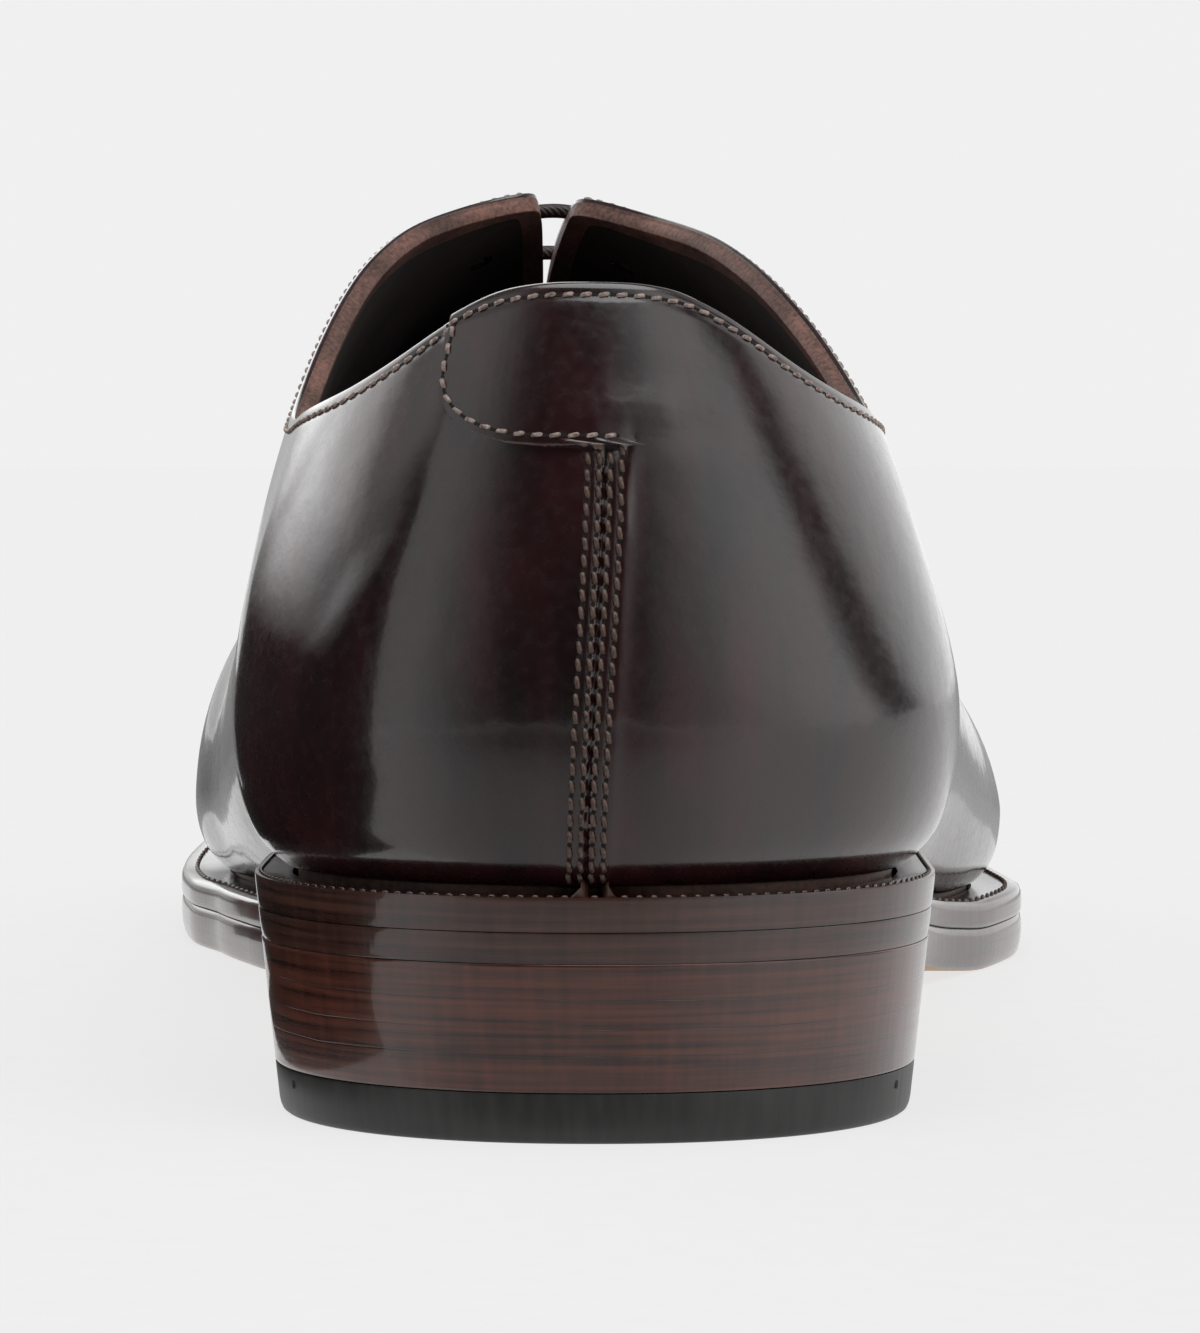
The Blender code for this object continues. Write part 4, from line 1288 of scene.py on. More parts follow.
def upper_cage():
    """Points, faces and face slots of the upper: outer leather, rolled edge and lining in one skin.
    The last list gives each point's distance below the cut edge, or minus one inside."""
    points, faces, slots, depths = [], [], [], []
    for side in (LATERAL, MEDIAL):
        columns = []
        for u in upper_stations():
            column_points, column_depths, n_out = cage_column(side, u)
            columns.append((len(points), station(u)))
            points += column_points
            depths += column_depths
        size = len(column_points)
        edge_end = n_out + len(ROLLED_EDGE)
        for (a, y), (b, _) in zip(columns, columns[1:]):
            for k in range(size):
                nxt = (k + 1) % size
                on_roll = n_out - 1 <= k < edge_end
                if on_roll and y >= THROAT_FOOT - TINY:
                    continue
                faces.append((a + k, b + k, b + nxt, a + nxt)[::side])
                in_rim = on_roll or k < edge_end + RIM_ROWS
                slots.append(0 if k < n_out - 1 + CALF_ROLLS else (1 if in_rim else 2))
    return points, faces, slots, depths


def tab_bottom():
    """Height of the tab's lower edge."""
    return collar_height(MEDIAL, 0) - TAB_DEPTH


def tab_reach(height, inset=0.0):
    """How far round the heel the tab runs at a height. Its end sweeps back towards its lower corner."""
    corner, sweep = TAB_CORNER - inset, TAB_SWEEP - inset
    into = max(tab_bottom() + inset + corner - height, 0.0) / corner
    return TAB_REACH - inset - sweep + sweep * math.sqrt(max(1 - into**TAB_POWER, 0.0))


def tab_height(along, z):
    """Height of the tab's leather over what it covers. Beside the seam it fades out downwards."""
    free = blend(along, TAB_NOTCH)
    beside = ease((z - tab_bottom() + TAB_FADE[0]) / TAB_FADE[1])
    return TAB_LEATHER * blend(along, TAB_CLIMB) * (free + (1 - free) * beside)


def round_heel(across):
    """Distances round the heel from the back seam, at the tab's height, of points at these places across."""
    place_x, place_along = [], []
    for side, sign in ((LATERAL, -1), (MEDIAL, 1)):
        walk = 0.0
        last = above_belly(side, 0.0, TAB_TURN)
        for k in range(1, TAB_REACHES):
            spot = above_belly(side, k / TAB_WALK, TAB_TURN)
            walk += np.linalg.norm(spot - last)
            last = spot
            place_x.append(spot[0])
            place_along.append(sign * walk)
    order = np.argsort(place_x)
    return np.interp(across, np.array(place_x)[order], np.array(place_along)[order])


def raised_under_tab(position, outside):
    """Lifts the upper under the tab, short of the tab's free edges, so that the two meet without a step."""
    along = round_heel(position[:, 0])
    moved = position.copy()
    near = outside & (position[:, 1] < 0) & (position[:, 2] > tab_bottom() - UNDER_TAB)
    near &= (along > TAB_CLIMB[0]) & (along < TAB_REACH)
    for k in np.nonzero(near)[0]:
        z = position[k, 2]
        high = tab_height(along[k], z) - TAB_SINK
        free = blend(along[k], TAB_NOTCH)
        inside = ease((tab_reach(z) - UNDER_END[0] - along[k]) / UNDER_END[1])
        inside *= 1 - free * (1 - ease((z - tab_bottom() - UNDER_FOOT[0]) / UNDER_FOOT[1]))
        away = unit(np.array([position[k, 0], position[k, 1], 0.0]))
        moved[k] += away * max(high, 0.0) * inside
    return moved


def seam_line(z):
    """How far to the outer side the back seam runs at height z. It slants a little."""
    return SEAM_ACROSS[0] + SEAM_ACROSS[1] * blend(z, SEAM_SLANTS)


def fold_lift(position):
    """Rise of the soft dents and folds at each point, in metres."""
    lift = np.zeros(len(position))
    for start, end, wide, high in FOLDS:
        a, b = np.array(start) * MM, np.array(end) * MM
        t = np.clip((position - a) @ (b - a) / ((b - a) @ (b - a)), 0, 1)
        away = np.linalg.norm(position - a - t[:, None] * (b - a), axis=1)
        taper = smooth(np.minimum(t, 1 - t) * FOLD_ENDS)
        lift += high * MM * taper * np.exp(-((away / (wide * MM)) ** 2))
    return lift


def bump(away, high, wide, power=2):
    """A soft ridge by the distance away from its line. A higher power gives it a flatter top."""
    return high * np.exp(-((np.abs(away) / wide) ** power))


def seam_lift(position, outside):
    """The back seam: a strip raised by the folded allowances, with the join as a groove in its middle
    and the leather pulled down under each row of thread."""
    x = position[:, 0] - np.array([seam_line(z) for z in position[:, 2]])
    covered = np.clip((tab_bottom() - position[:, 2]) / SEAM_STARTS, 0, 1)
    rows = sum(bump(x - r, *SEAM_VALLEY) for r in SEAM_ROWS)
    lift = bump(x, *SEAM_STRIP, power=4) - bump(x, *SEAM_GROOVE) - rows
    return lift * (outside & (position[:, 1] < 0)) * covered


def drawn_nose(position, outside):
    """The nose as one smooth crown: round the end of the crest the leather is drawn onto a smooth surface
    through what lies about it, as wet leather is over the last."""
    pole = bones(LATERAL, 3.0)[2]
    flat = (position[:, :2] - pole[:2]) / NOSE_REACH
    away = np.linalg.norm(flat, axis=1)
    near = outside & (away < 1) & (position[:, 2] > pole[2] - NOSE_DEPTH)
    ring = near & (away > NOSE_CORE)
    powers = [(a, b) for a in range(NOSE_POWER + 1) for b in range(NOSE_POWER + 1 - a)]
    terms = np.stack([flat[:, 0] ** a * flat[:, 1] ** b for a, b in powers], axis=1)
    fitted = np.linalg.lstsq(terms[ring], position[ring, 2], rcond=None)[0]
    drawn = smooth((NOSE_HOLD - away) / (NOSE_HOLD - NOSE_CORE))
    moved = position.copy()
    moved[near, 2] += ((terms @ fitted - position[:, 2]) * drawn)[near]
    return moved


def make_upper(look):
    """The whole cut: one sheet of calf over its lining, rolled at the collar and closed at the back."""
    points, faces, slots, depths = upper_cage()
    calf = polished_calf(look)
    rim = soft_leather("collar_lining", "#382019", "#7d574b", 0.55, 0.5 * MM, 0.04)
    # the lining inside the shoe: its own brown, darkened to near black as painted shade for the inside
    inside = soft_leather("suede_lining_painted_shade", "#120a08", "#2f1e19", 0.85, 0.6 * MM, 0.03)
    mesh = raw_mesh("upper_leather", points, faces, (calf, rim, inside), slots)
    below = mesh.attributes.new("below_edge", "FLOAT", "POINT")
    below.data.foreach_set("value", depths)
    weld(mesh)
    piece = linked("upper_leather", mesh)
    finer = piece.modifiers.new("finer", "SUBSURF")
    finer.levels = finer.render_levels = CAGE_LEVELS
    shape_upper(applied(piece))
    return piece


def shape_upper(piece):
    """Draws the nose smooth, then places the folds, the seam and the collar's row in the leather."""
    mesh = piece.data
    below = read_column(mesh.attributes["below_edge"].data, "value", 1)[:, 0]
    outside = below >= 0
    position = drawn_nose(read_column(mesh.vertices, "co"), outside)
    place_points(mesh, position)
    normal = read_column(mesh.vertex_normals, "vector")
    lift = fold_lift(position) * outside + seam_lift(position, outside)
    open_edge = position[:, 1] < THROAT_FOOT + FOOT_EDGE
    lift -= bump(below - COLLAR_ROW, *COLLAR_VALLEY) * outside * open_edge
    position += normal * lift[:, None]
    place_points(mesh, position)
    shared["under_tab"] = Surface(piece)
    place_points(mesh, raised_under_tab(position, outside))


def eyelet_stations():
    """Stations of the eyelets, from the facings' top down."""
    return [station_at(THROAT_TOP + FIRST_EYELET + k * EYELET_PITCH) for k in range(EYELETS)]


def punch_eyelets(piece):
    """Punches the lace holes square through the leather."""
    work = bmesh.new()
    for u in eyelet_stations():
        for side in (LATERAL, MEDIAL):
            turn = turn_at_offset(side, u, EYELET_EDGE)
            normal, _ = frame_at(side, u, turn)
            pin = bmesh.ops.create_cone(
                work, cap_ends=True, segments=PUNCH_SIDES, depth=4 * WALL,
                radius1=EYELET_HOLE / 2, radius2=EYELET_HOLE / 2,
            )
            turned = Vector((0, 0, 1)).rotation_difference(Vector(normal)).to_matrix()
            bmesh.ops.rotate(work, verts=pin["verts"], matrix=turned)
            bmesh.ops.translate(work, verts=pin["verts"], vec=Vector(above_belly(side, u, turn)))
    mesh = bpy.data.meshes.new("punch")
    work.to_mesh(mesh)
    work.free()
    cutter = linked("punch", mesh)
    cut = piece.modifiers.new("punch", "BOOLEAN")
    cut.object = cutter
    applied(piece)
    bpy.data.objects.remove(cutter)
    piece.data.shade_smooth()
    piece.data.set_sharp_from_angle(angle=math.radians(CUT_ANGLE))


class Surface:
    """The finished outside of one or more pieces, on which stitches and overlays are set."""

    def __init__(self, *pieces):
        corners, faces = [], []
        for piece in pieces:
            start = len(corners)
            corners += [v.co.copy() for v in piece.data.vertices]
            faces += [tuple(start + k for k in p.vertices) for p in piece.data.polygons]
        self.tree = BVHTree.FromPolygons(corners, faces)

    def settle(self, point, normal):
        """The surface point straight under a point, and the surface's normal there."""
        start = Vector(point) + Vector(normal) * SETTLE_FROM
        hit, face, _, _ = self.tree.ray_cast(start, -Vector(normal), SETTLE_TO)
        if hit is None:
            return np.array(point), np.array(normal)
        return np.array(hit), np.array(face)


shared = {}  # what one step leaves for the next: the upper's surfaces, before and after the tab is on it


def even_walk(path, pitch):
    """Points at an even pitch along a dense path of (point, normal), with their direction."""
    places = np.array([p for p, _ in path])
    normals = np.array([n for _, n in path])
    gaps = np.linalg.norm(np.diff(places, axis=0), axis=1)
    run = np.concatenate([[0], np.cumsum(gaps)])
    count = max(int(run[-1] / pitch), 1)
    marks = (np.arange(count) + 0.5) * run[-1] / count
    out = []
    for mark in marks:
        spot = [np.interp(mark, run, places[:, k]) for k in range(3)]
        ahead = [np.interp(mark + pitch / 4, run, places[:, k]) for k in range(3)]
        behind = [np.interp(mark - pitch / 4, run, places[:, k]) for k in range(3)]
        normal = unit(np.array([np.interp(mark, run, normals[:, k]) for k in range(3)]))
        out.append((np.array(spot), normal, unit(np.array(ahead) - np.array(behind))))
    return out


def stitch_row(path, pitch, shape, width):
    """Points, faces and slots of a row of stitches: each a twisted bead of thread that dips in at both
    ends, with a near-black disc at each end as painted shade of its needle hole. Slot 0 is thread and slot 1
    is that disc."""
    length, radius = pitch * shape[0], width * shape[1]
    points, faces, slots = [], [], []
    for spot, normal, ahead in even_walk(path, pitch):
        across = unit(np.cross(normal, ahead))
        ahead = unit(np.cross(across, normal))
        start = len(points)
        for r in range(BEAD_RINGS):
            t = 2 * r / (BEAD_RINGS - 1) - 1
            girth = radius * math.sqrt(max(1 - BEAD_TAPER * t**6, 0.0))
            centre = spot + ahead * length / 2 * t + normal * radius * (BEAD_HIGH - BEAD_DIPS * t**4)
            centre = centre + across * radius * BEAD_SLANT * t
            for k in range(BEAD_SIDES):
                a = 2 * math.pi * k / BEAD_SIDES + t
                points.append(centre + girth * (math.cos(a) * across + math.sin(a) * normal))
        for r in range(BEAD_RINGS - 1):
            for k in range(BEAD_SIDES):
                a, b = start + r * BEAD_SIDES, start + (r + 1) * BEAD_SIDES
                faces.append((a + k, a + (k + 1) % BEAD_SIDES, b + (k + 1) % BEAD_SIDES, b + k))
        for r in (0, BEAD_RINGS - 1):
            faces.append(tuple(start + r * BEAD_SIDES + k for k in range(BEAD_SIDES)))
        slots += [0] * (len(faces) - len(slots))
        for end in (-1, 1):
            centre = spot + ahead * end * (length / 2 + radius * HOLE_SHADE_PAST) + normal * HOLE_SHADE_PROUD
            first = len(points)
            for k in range(HOLE_SHADE_SIDES):
                a = 2 * math.pi * k / HOLE_SHADE_SIDES
                points.append(centre + radius * HOLE_SHADE_WIDE * (math.cos(a) * across + math.sin(a) * ahead))
            faces.append(tuple(range(first, first + HOLE_SHADE_SIDES)))
            slots.append(1)
    return points, faces, slots


def joined_rows(name, rows, materials):
    """One piece of several rows of stitches."""
    points, faces, slots = [], [], []
    for row_points, row_faces, row_slots in rows:
        start = len(points)
        points += row_points
        faces += [tuple(start + k for k in face) for face in row_faces]
        slots += row_slots
    mesh = raw_mesh(name, points, faces, materials, slots)
    mesh.shade_smooth()
    return linked(name, mesh)


def settled(side, u, v, surface):
    """A place of the upper's own form, set on the finished surface."""
    normal, _ = frame_at(side, u, v)
    return surface.settle(skin(side, u, v), normal)


def turn_below_edge(side, u, depth):
    """The turn at a distance depth below the leather's edge, along the section."""
    end = top_turn(side, u)
    top = above_belly(side, u, end)
    return find_turn(lambda turn: -np.linalg.norm(above_belly(side, u, turn) - top), -depth, end, 24)


def collar_path(side, surface):
    """The row below the edge: from the back seam round the collar and down the facing."""
    us = [k * COLLAR_STEP for k in range(COLLAR_STEPS)]
    us += even(FACING_STEPS, 1.0, station_at(THROAT_FOOT - FOOT_EDGE))
    return [settled(side, u, turn_below_edge(side, u, COLLAR_ROW), surface) for u in us]


def stay_path(side, surface):
    """The second row of the facing, beyond the eyelets, which turns in to the throat's foot."""
    path = []
    top, foot = THROAT_TOP + STAY_TOP, THROAT_FOOT + STAY_FOOT
    for y in even(STAY_STEPS, top, foot):
        turn_in = max((y - (foot - STAY_WIDE)) / STAY_WIDE, 0.0)
        offset = STAY_WIDE * math.sqrt(max(1 - turn_in**2, 0.0))
        u = station_at(y)
        path.append(settled(side, u, turn_at_offset(side, u, max(offset, STAY_GAP)), surface))
    return path


def tab_grid():
    """A function from the distance round the heel, from the back, to the side and the station there."""
    around = [0.0]
    us = [k / TAB_WALK for k in range(TAB_WALK)]
    for a, b in zip(us, us[1:]):
        step = above_belly(MEDIAL, b, TAB_TURN) - above_belly(MEDIAL, a, TAB_TURN)
        around.append(around[-1] + np.linalg.norm(step))

    def place(along):
        return (MEDIAL if along >= 0 else LATERAL), float(np.interp(abs(along), around, us))

    return place


def tab_spot(place, along_share, down_share, reach_from, inset=0.0):
    """A point of the tab: its shares run from its root to its end, and from the collar down."""
    bottom = tab_bottom() + inset
    side, u = place(reach_from + (TAB_REACH - inset - reach_from) * along_share)
    brim = collar_height(side, u) - TAB_BRIM - inset
    height = brim + (bottom - brim) * down_share
    along = reach_from + (tab_reach(height, inset) - reach_from) * along_share
    side, u = place(along)
    turn = turn_at_height(side, u, height)
    normal, _ = frame_at(side, max(u, TAB_NORMAL_FROM), turn)
    if abs(along) < TAB_MIDDLE:
        normal = unit(normal * np.array([0.0, 1.0, 1.0]))
    return above_belly(side, u, turn), normal, along


def make_tab(surface):
    """The heel tab: the outer quarter's leather, which climbs over the seam and laps the inner quarter."""
    across, down = TAB_GRID
    root = TAB_CLIMB[0]
    sunk, gained, over = TAB_LIES
    place = tab_grid()
    points = []
    for i in range(across + 1):
        for j in range(down + 1):
            spot, normal, along = tab_spot(place, i / across, j / down, root)
            high = tab_height(along, spot[2])
            spot, _ = surface.settle(spot, normal)
            high += sunk + gained * blend(along, (root, over))
            high -= TAB_TUCK[0] * (1 - blend(along, TAB_NOTCH)) * blend(j / down, TAB_TUCK[1:])
            if j == 0:
                side, u = place(along)
                upward = frame_at(side, max(u, TAB_UPWARD_FROM), top_turn(side, u))[1]
                for inward, rise in TAB_WRAP:
                    points.append(spot + normal * (high - inward * MM) + upward * rise * MM)
            points.append(spot + normal * high)
    faces = grid_faces(across + 1, down + 1 + len(TAB_WRAP))
    # the tab's cut edge: raw leather edge, drawn paler than it is as a painted highlight along the tab's free
    # edge
    cut_edge_and_highlight = burnished_leather("skived_edge_and_highlight", linear("#3d2c27"), linear("#94807a"))
    mesh = raw_mesh("tab_leather", points, faces, (bpy.data.materials["polished_calf"], cut_edge_and_highlight))
    mesh.shade_smooth()
    if min(mesh.polygons, key=lambda p: p.center.y).normal.y > 0:
        mesh.flip_normals()
    piece = thickened(linked("tab_leather", mesh), TAB_LEATHER + TAB_BACK, TAB_SOFT, CUT_ANGLE, rim=1)
    piece.data.shade_smooth()
    return piece


def tab_path(tab_surface):
    """The row round the tab's end and along its lower edge, to the seam's corner."""
    place = tab_grid()
    shares = [(1.0, down, 0.0) for down in even(*TAB_DOWN)]
    shares += [(along, 1.0, TAB_ROW_FROM) for along in even(*TAB_ALONG)]
    path = []
    for along, down, start in shares:
        spot, normal, _ = tab_spot(place, along, down, start, TAB_INSET)
        path.append(tab_surface.settle(spot, normal))
    return path


def seam_path(offset, surface):
    """One row of stitches beside the back seam, from the tab down to the heel's rand."""
    top = tab_bottom() + (ROW_HIGH if offset == SEAM_ROWS[-1] else -ROW_HIGH)
    path = []
    for z in even(SEAM_STEPS, top, welt_top(0) + ROW_ENDS):
        start = Vector((seam_line(z) + offset, BACK - 0.02, z))
        hit, face, _, _ = surface.tree.ray_cast(start, Vector((0, 1, 0)), 0.05)
        if hit is not None:
            path.append((np.array(hit), np.array(face)))
    return path


def edge_path(ring, extra, lift):
    """A level row on the welt's top. extra: its distance from the edge, by the share of the length."""
    path = []
    for side, u in ring:
        s = share(station(u))
        flat = sole_edge(side, u) - (heel_inset(s, welt_top(s)) + extra(s)) * outward(side, u)
        path.append((np.array([*flat, welt_top(share(flat[1])) + lift]), np.array([0.0, 0.0, 1.0])))
    return path


def welt_path():
    """The row along the welt's top, between its edge and the upper, from breast to breast round the toe."""
    first = station_at(BREAST - WELT_ROW_FROM)
    ring = [(LATERAL, u) for u in even(WELT_STEPS, first, 3.0)]
    ring += [(MEDIAL, u) for u in even(WELT_STEPS, 3.0, first)]
    return edge_path(ring, lambda s: min(margin(s) * WELT_ROW[0], WELT_ROW[1]), WELT_ROW_LIFT)


def seat_path():
    """The wheeled marks round the heel seat, near its edge."""
    first = station_at(BREAST)
    ring = [(LATERAL, u) for u in even(SEAT_STEPS, first, 0.0)]
    ring += [(MEDIAL, u) for u in even(SEAT_STEPS, 0.0, first)]
    return edge_path(ring, lambda s: SEAT_ROW_IN, -SEAT_ROW_SINKS)


def make_stitches(look):
    """Every visible row of thread: collar and facings, tab, back seam, welt and heel seat."""
    surface, tab_surface = shared["upper"], shared["tab"]
    # near-black discs at the stitch ends: painted shade of the needle holes
    hole = hole_shade_and_pins()
    thread = [waxed_thread("closing_thread", look.thread, look.thread_highlight), hole]
    silk = [waxed_thread("collar_thread", look.collar_thread, look.collar_thread_highlight), hole]
    inked = [bpy.data.materials["welt_edge"]] * 2
    paths = [collar_path(side, shared["both"]) for side in (LATERAL, MEDIAL)]
    paths += [stay_path(side, surface) for side in (LATERAL, MEDIAL)]
    paths.append(tab_path(tab_surface))
    seams = [seam_path(offset, surface) for offset in SEAM_ROWS]
    groups = (
        ("collar_stitches", paths, look.stitch_pitch, FINE_ROW, silk),
        ("seam_stitches", seams, look.seam_pitch, CLOSE_ROW, thread),
        ("welt_stitches", [welt_path()], look.welt_pitch, SOLE_ROW, thread),
        ("seat_wheeling", [seat_path()], look.seat_pitch, SEAT_ROW, inked),
    )
    return [
        joined_rows(name, [stitch_row(path, pitch, shape, look.thread_width) for path in rows], materials)
        for name, rows, pitch, shape, materials in groups
    ]


def sole_loop(us, inset, height):
    """Closed ring of points: up the lateral side to the toe and back down the medial side."""
    def point(side, u):
        flat = sole_edge(side, u) - inset(share(station(u))) * outward(side, u)
        return (*flat, height(share(flat[1])))

    return [point(LATERAL, u) for u in us] + [point(MEDIAL, u) for u in us[-2:0:-1]]


def wall_faces(rings, size, closed):
    """Side walls between rings of points that lie one after another. Closed joins the last to the first."""
    faces = []
    for r in range(rings if closed else rings - 1):
        a, b = r * size, ((r + 1) % rings) * size
        faces += [(a + k, a + (k + 1) % size, b + (k + 1) % size, b + k) for k in range(size)]
    return faces


def lid_faces(start, count, size):
    """A lid across one ring, in strips from the lateral side to the medial side."""
    faces = []
    for k in range(count - 1):
        quad = [start + k, start + k + 1, start + (size - k - 1) % size, start + (size - k) % size]
        faces.append(tuple(dict.fromkeys(quad)))
    return faces


def edge_rings(us, profile, low, high):
    """Rings of an edge: profile rows are (inset in mm, share of the height)."""
    rings = []
    for inset, rise in profile:
        def height(s, rise=rise):
            return low(s) + (high(s) - low(s)) * rise

        def inward(s, inset=inset, rise=rise):
            free = FLUSH + (1 - FLUSH) * ease((s - share(BREAST) + FLUSH_FADE[0]) / FLUSH_FADE[1])
            return heel_inset(s, low(s) + (high(s) - low(s)) * rise) + inset * MM * free

        rings.append(sole_loop(us, inward, height))
    return rings


def sole_stations():
    """Stations of the sole's rings, closest together where the outline turns most."""
    heel, body, toe = SOLE_RINGS
    return even(heel, 0.0, 1.0)[:-1] + even(body, 1.0, 2.0)[:-1] + even(toe, 2.0, 3.0)


def make_welt(look):
    """The welt, with its edge ironed round and its top drawn down beside the upper."""
    us = sole_stations()

    def low(s):
        return outsole_top(s) + JOIN_GAP

    def inner(s):
        return margin(s) + WALL

    rings = edge_rings(us, WELT_EDGE, low, welt_top)
    for across, rise in WELT_TOP:
        rings.append(sole_loop(us, lambda s: margin(s) * across, lambda s: welt_top(s) + rise))
    rings.append(sole_loop(us, inner, lambda s: welt_top(s) - WELT_INNER))
    rings.append(sole_loop(us, inner, low))
    points = [p for ring in rings for p in ring]
    faces = wall_faces(len(rings), 2 * len(us) - 2, closed=True)
    edge = burnished_leather("welt_edge", hexes(look.edge_dark), hexes(look.edge_light))
    return mesh_piece("welt_strip", points, faces, [edge], sharp=CUT_ANGLE)


def make_outsole(look):
    """The leather outsole: an inked, ironed edge over a natural tan underside."""
    us = sole_stations()
    rings = edge_rings(us, OUTSOLE_EDGE, underside_height, outsole_top)
    size = 2 * len(us) - 2
    points = [p for ring in rings for p in ring]
    sides = wall_faces(len(rings), size, closed=False)
    under = lid_faces(0, len(us), size)
    over = lid_faces((len(rings) - 1) * size, len(us), size)
    under_bevel = [0 if points[k][1] < BREAST + INKED_PAST else 1 for k in range(size)]
    slots = under_bevel + [0] * (len(sides) - size) + [1] * len(under) + [0] * len(over)
    edge = burnished_leather("outsole_edge", hexes(look.edge_dark), hexes(look.edge_light))
    tan = natural_sole(look)
    return mesh_piece("sole_leather", points, sides + under + over, [edge, tan], slots, sharp=SOLE_ANGLE)


def heel_ring(height, inset):
    """The heel's outline at one height: round the back to the breast, and along the hollow breast."""
    back, flank, breast = HEEL_RING
    sides = even(back, 0.0, 1.0) + even(flank, 1.0, station_at(BREAST))[1:]

    def wall(side, u):
        s = share(station(u))
        return sole_edge(side, u) - (heel_inset(s, height) + inset) * outward(side, u)

    lateral = [wall(LATERAL, u) for u in sides]
    medial = [wall(MEDIAL, u) for u in sides]
    front = []
    for t in even(breast):
        spot = lateral[-1] + (medial[-1] - lateral[-1]) * t
        corner = BREAST_CORNER * max(1 - min(t, 1 - t) * BREAST_CORNERS, 0.0) ** 2
        spot[1] -= BREAST_HOLLOW * math.sin(math.pi * t) + inset + corner
        front.append(spot)
    outline = lateral[:-1] + front + medial[-2:0:-1]
    return [(p[0], p[1], height) for p in outline]


def heel_piece(name, levels, materials, sharp):
    """A stack of heel rings: levels are (height, inset)."""
    rings = [heel_ring(height, inset) for height, inset in levels]
    size = len(rings[0])
    points = [p for ring in rings for p in ring]
    faces = wall_faces(len(rings), size, closed=False)
    faces.append(tuple(range(size - 1, -1, -1)))
    top = (len(rings) - 1) * size
    faces.append(tuple(range(top, top + size)))
    return mesh_piece(name, points, faces, materials, sharp=sharp)


def make_heel(look):
    """The stacked heel, one sanded block."""
    low, high = TOP_PIECE, TOP_PIECE + LIFTS * LIFT
    levels = [(low + rise, inset) for rise, inset in STACK_FOOT]
    levels.append(((levels[0][0] + high) / 2, 0.0))
    levels += [(high - fall, inset) for fall, inset in STACK_TOP]
    dark, light = hexes(look.stack_dark), hexes(look.stack_light)
    stack = burnished_leather("stacked_leather", dark, light, STACK_JOINS, low, high)
    return heel_piece("heel_stack", levels, [stack], STACK_ANGLE)


def make_tip(look):
    """The rubber top piece, with a fine bevel at the floor, and two pins that show at its sides."""
    levels = list(TIP_FOOT) + [(TOP_PIECE - fall, inset) for fall, inset in TIP_TOP]
    tip = heel_piece("rubber_tip", levels, [heel_rubber(look)], TIP_ANGLE)
    points = []
    for side in (LATERAL, MEDIAL):
        out = np.array([*outward(side, PIN_AT), 0.0])
        flat = sole_edge(side, PIN_AT)
        flat = flat - heel_inset(share(station(PIN_AT)), PIN_HEIGHT) * outward(side, PIN_AT)
        centre = np.array([*flat, PIN_HEIGHT]) + out * PIN_PROUD
        across, tall = np.array([-out[1], out[0], 0.0]), np.array([0.0, 0.0, PIN_TALL])
        for k in range(PIN_SIDES):
            a = 2 * math.pi * k / PIN_SIDES
            points.append(centre + PIN_SIZE * (math.cos(a) * across + math.sin(a) * tall))
    faces = [tuple(range(PIN_SIDES)), tuple(range(PIN_SIDES, 2 * PIN_SIDES))]
    # the pins are near-black discs in the same material as the painted needle-hole shade
    return tip, mesh_piece("tip_pins", points, faces, [hole_shade_and_pins()])


def make_insole():
    """The sock: brown lining leather over the insole, dished for the foot, with its edge turned down."""
    ends, body, across = SOCK_GRID
    us = even(ends, SOCK_ENDS, 1.0)[:-1] + even(body, 1.0, 2.0)[:-1] + even(ends, 2.0, 3 - SOCK_ENDS)
    points = []
    for u in us:
        inset = margin(share(station(u))) + WALL + 2 * CLEARANCE
        left = sole_edge(LATERAL, u) - inset * outward(LATERAL, u)
        right = sole_edge(MEDIAL, u) - inset * outward(MEDIAL, u)
        for t in even(across):
            flat = left + (right - left) * t
            arch = math.sin(math.pi * t)
            dish = SOCK_DISH * arch**0.6 + SOCK_EDGE * (1 - arch**0.2)
            points.append((*flat, welt_top(share(flat[1])) + INSOLE_SHOWS - dish))
    sock = soft_leather("insole_sock", "#3a241c", "#6a4636", 0.5, 0.8 * MM, 0.05)
    piece = mesh_piece("insole_sock", points, grid_faces(len(us), across + 1), [sock])
    face_up(piece.data)
    return thickened(piece, SOCK_THICK, SOCK_SOFT, SOCK_ANGLE)


def make_tongue():
    """The tongue: calf over lining, which lies under the facings and sags away at its free end."""
    across, along = TONGUE_GRID
    ripple_high, ripple_across, ripple_along = RIPPLE
    points = []
    for j in range(along + 1):
        y = TONGUE_FOOT + (TONGUE_TOP - TONGUE_FOOT) * j / along
        loose = ease((TONGUE_FOOT - TONGUE_ROOT - y) / (TONGUE_FOOT - TONGUE_ROOT - TONGUE_TOP))
        corner = ease(1 - (y - TONGUE_TOP) / TONGUE_ROUND)
        half = TONGUE_WIDTH / 2 * (TONGUE_TAPER + (1 - TONGUE_TAPER) * loose)
        half *= 1 - TONGUE_CORNER * corner
        u = station_at(y)
        for i in range(across + 1):
            a = 2 * i / across - 1
            side = LATERAL if a >= 0 else MEDIAL
            turn = turn_at_offset(side, u, max(abs(a) * half, CLEARANCE))
            normal, _ = frame_at(side, u, turn)
            spot = above_belly(side, u, turn) - (WALL + 2 * CLEARANCE) * normal
            ripple = ripple_high * loose * math.sin(a * ripple_across + y * ripple_along)
            points.append(spot - np.array([0, 0, loose * (TONGUE_SAG + TONGUE_TILT * a) + ripple]))
    # the tongue's underside takes that lining, darkened as painted shade
    leathers = [bpy.data.materials[n] for n in ("polished_calf", "suede_lining_painted_shade", "collar_lining")]
    piece = mesh_piece("tongue_leather", points, grid_faces(along + 1, across + 1), leathers)
    face_up(piece.data)
    return thickened(piece, TONGUE_LEATHER, TONGUE_SOFT, CUT_ANGLE, inner=1, rim=2)


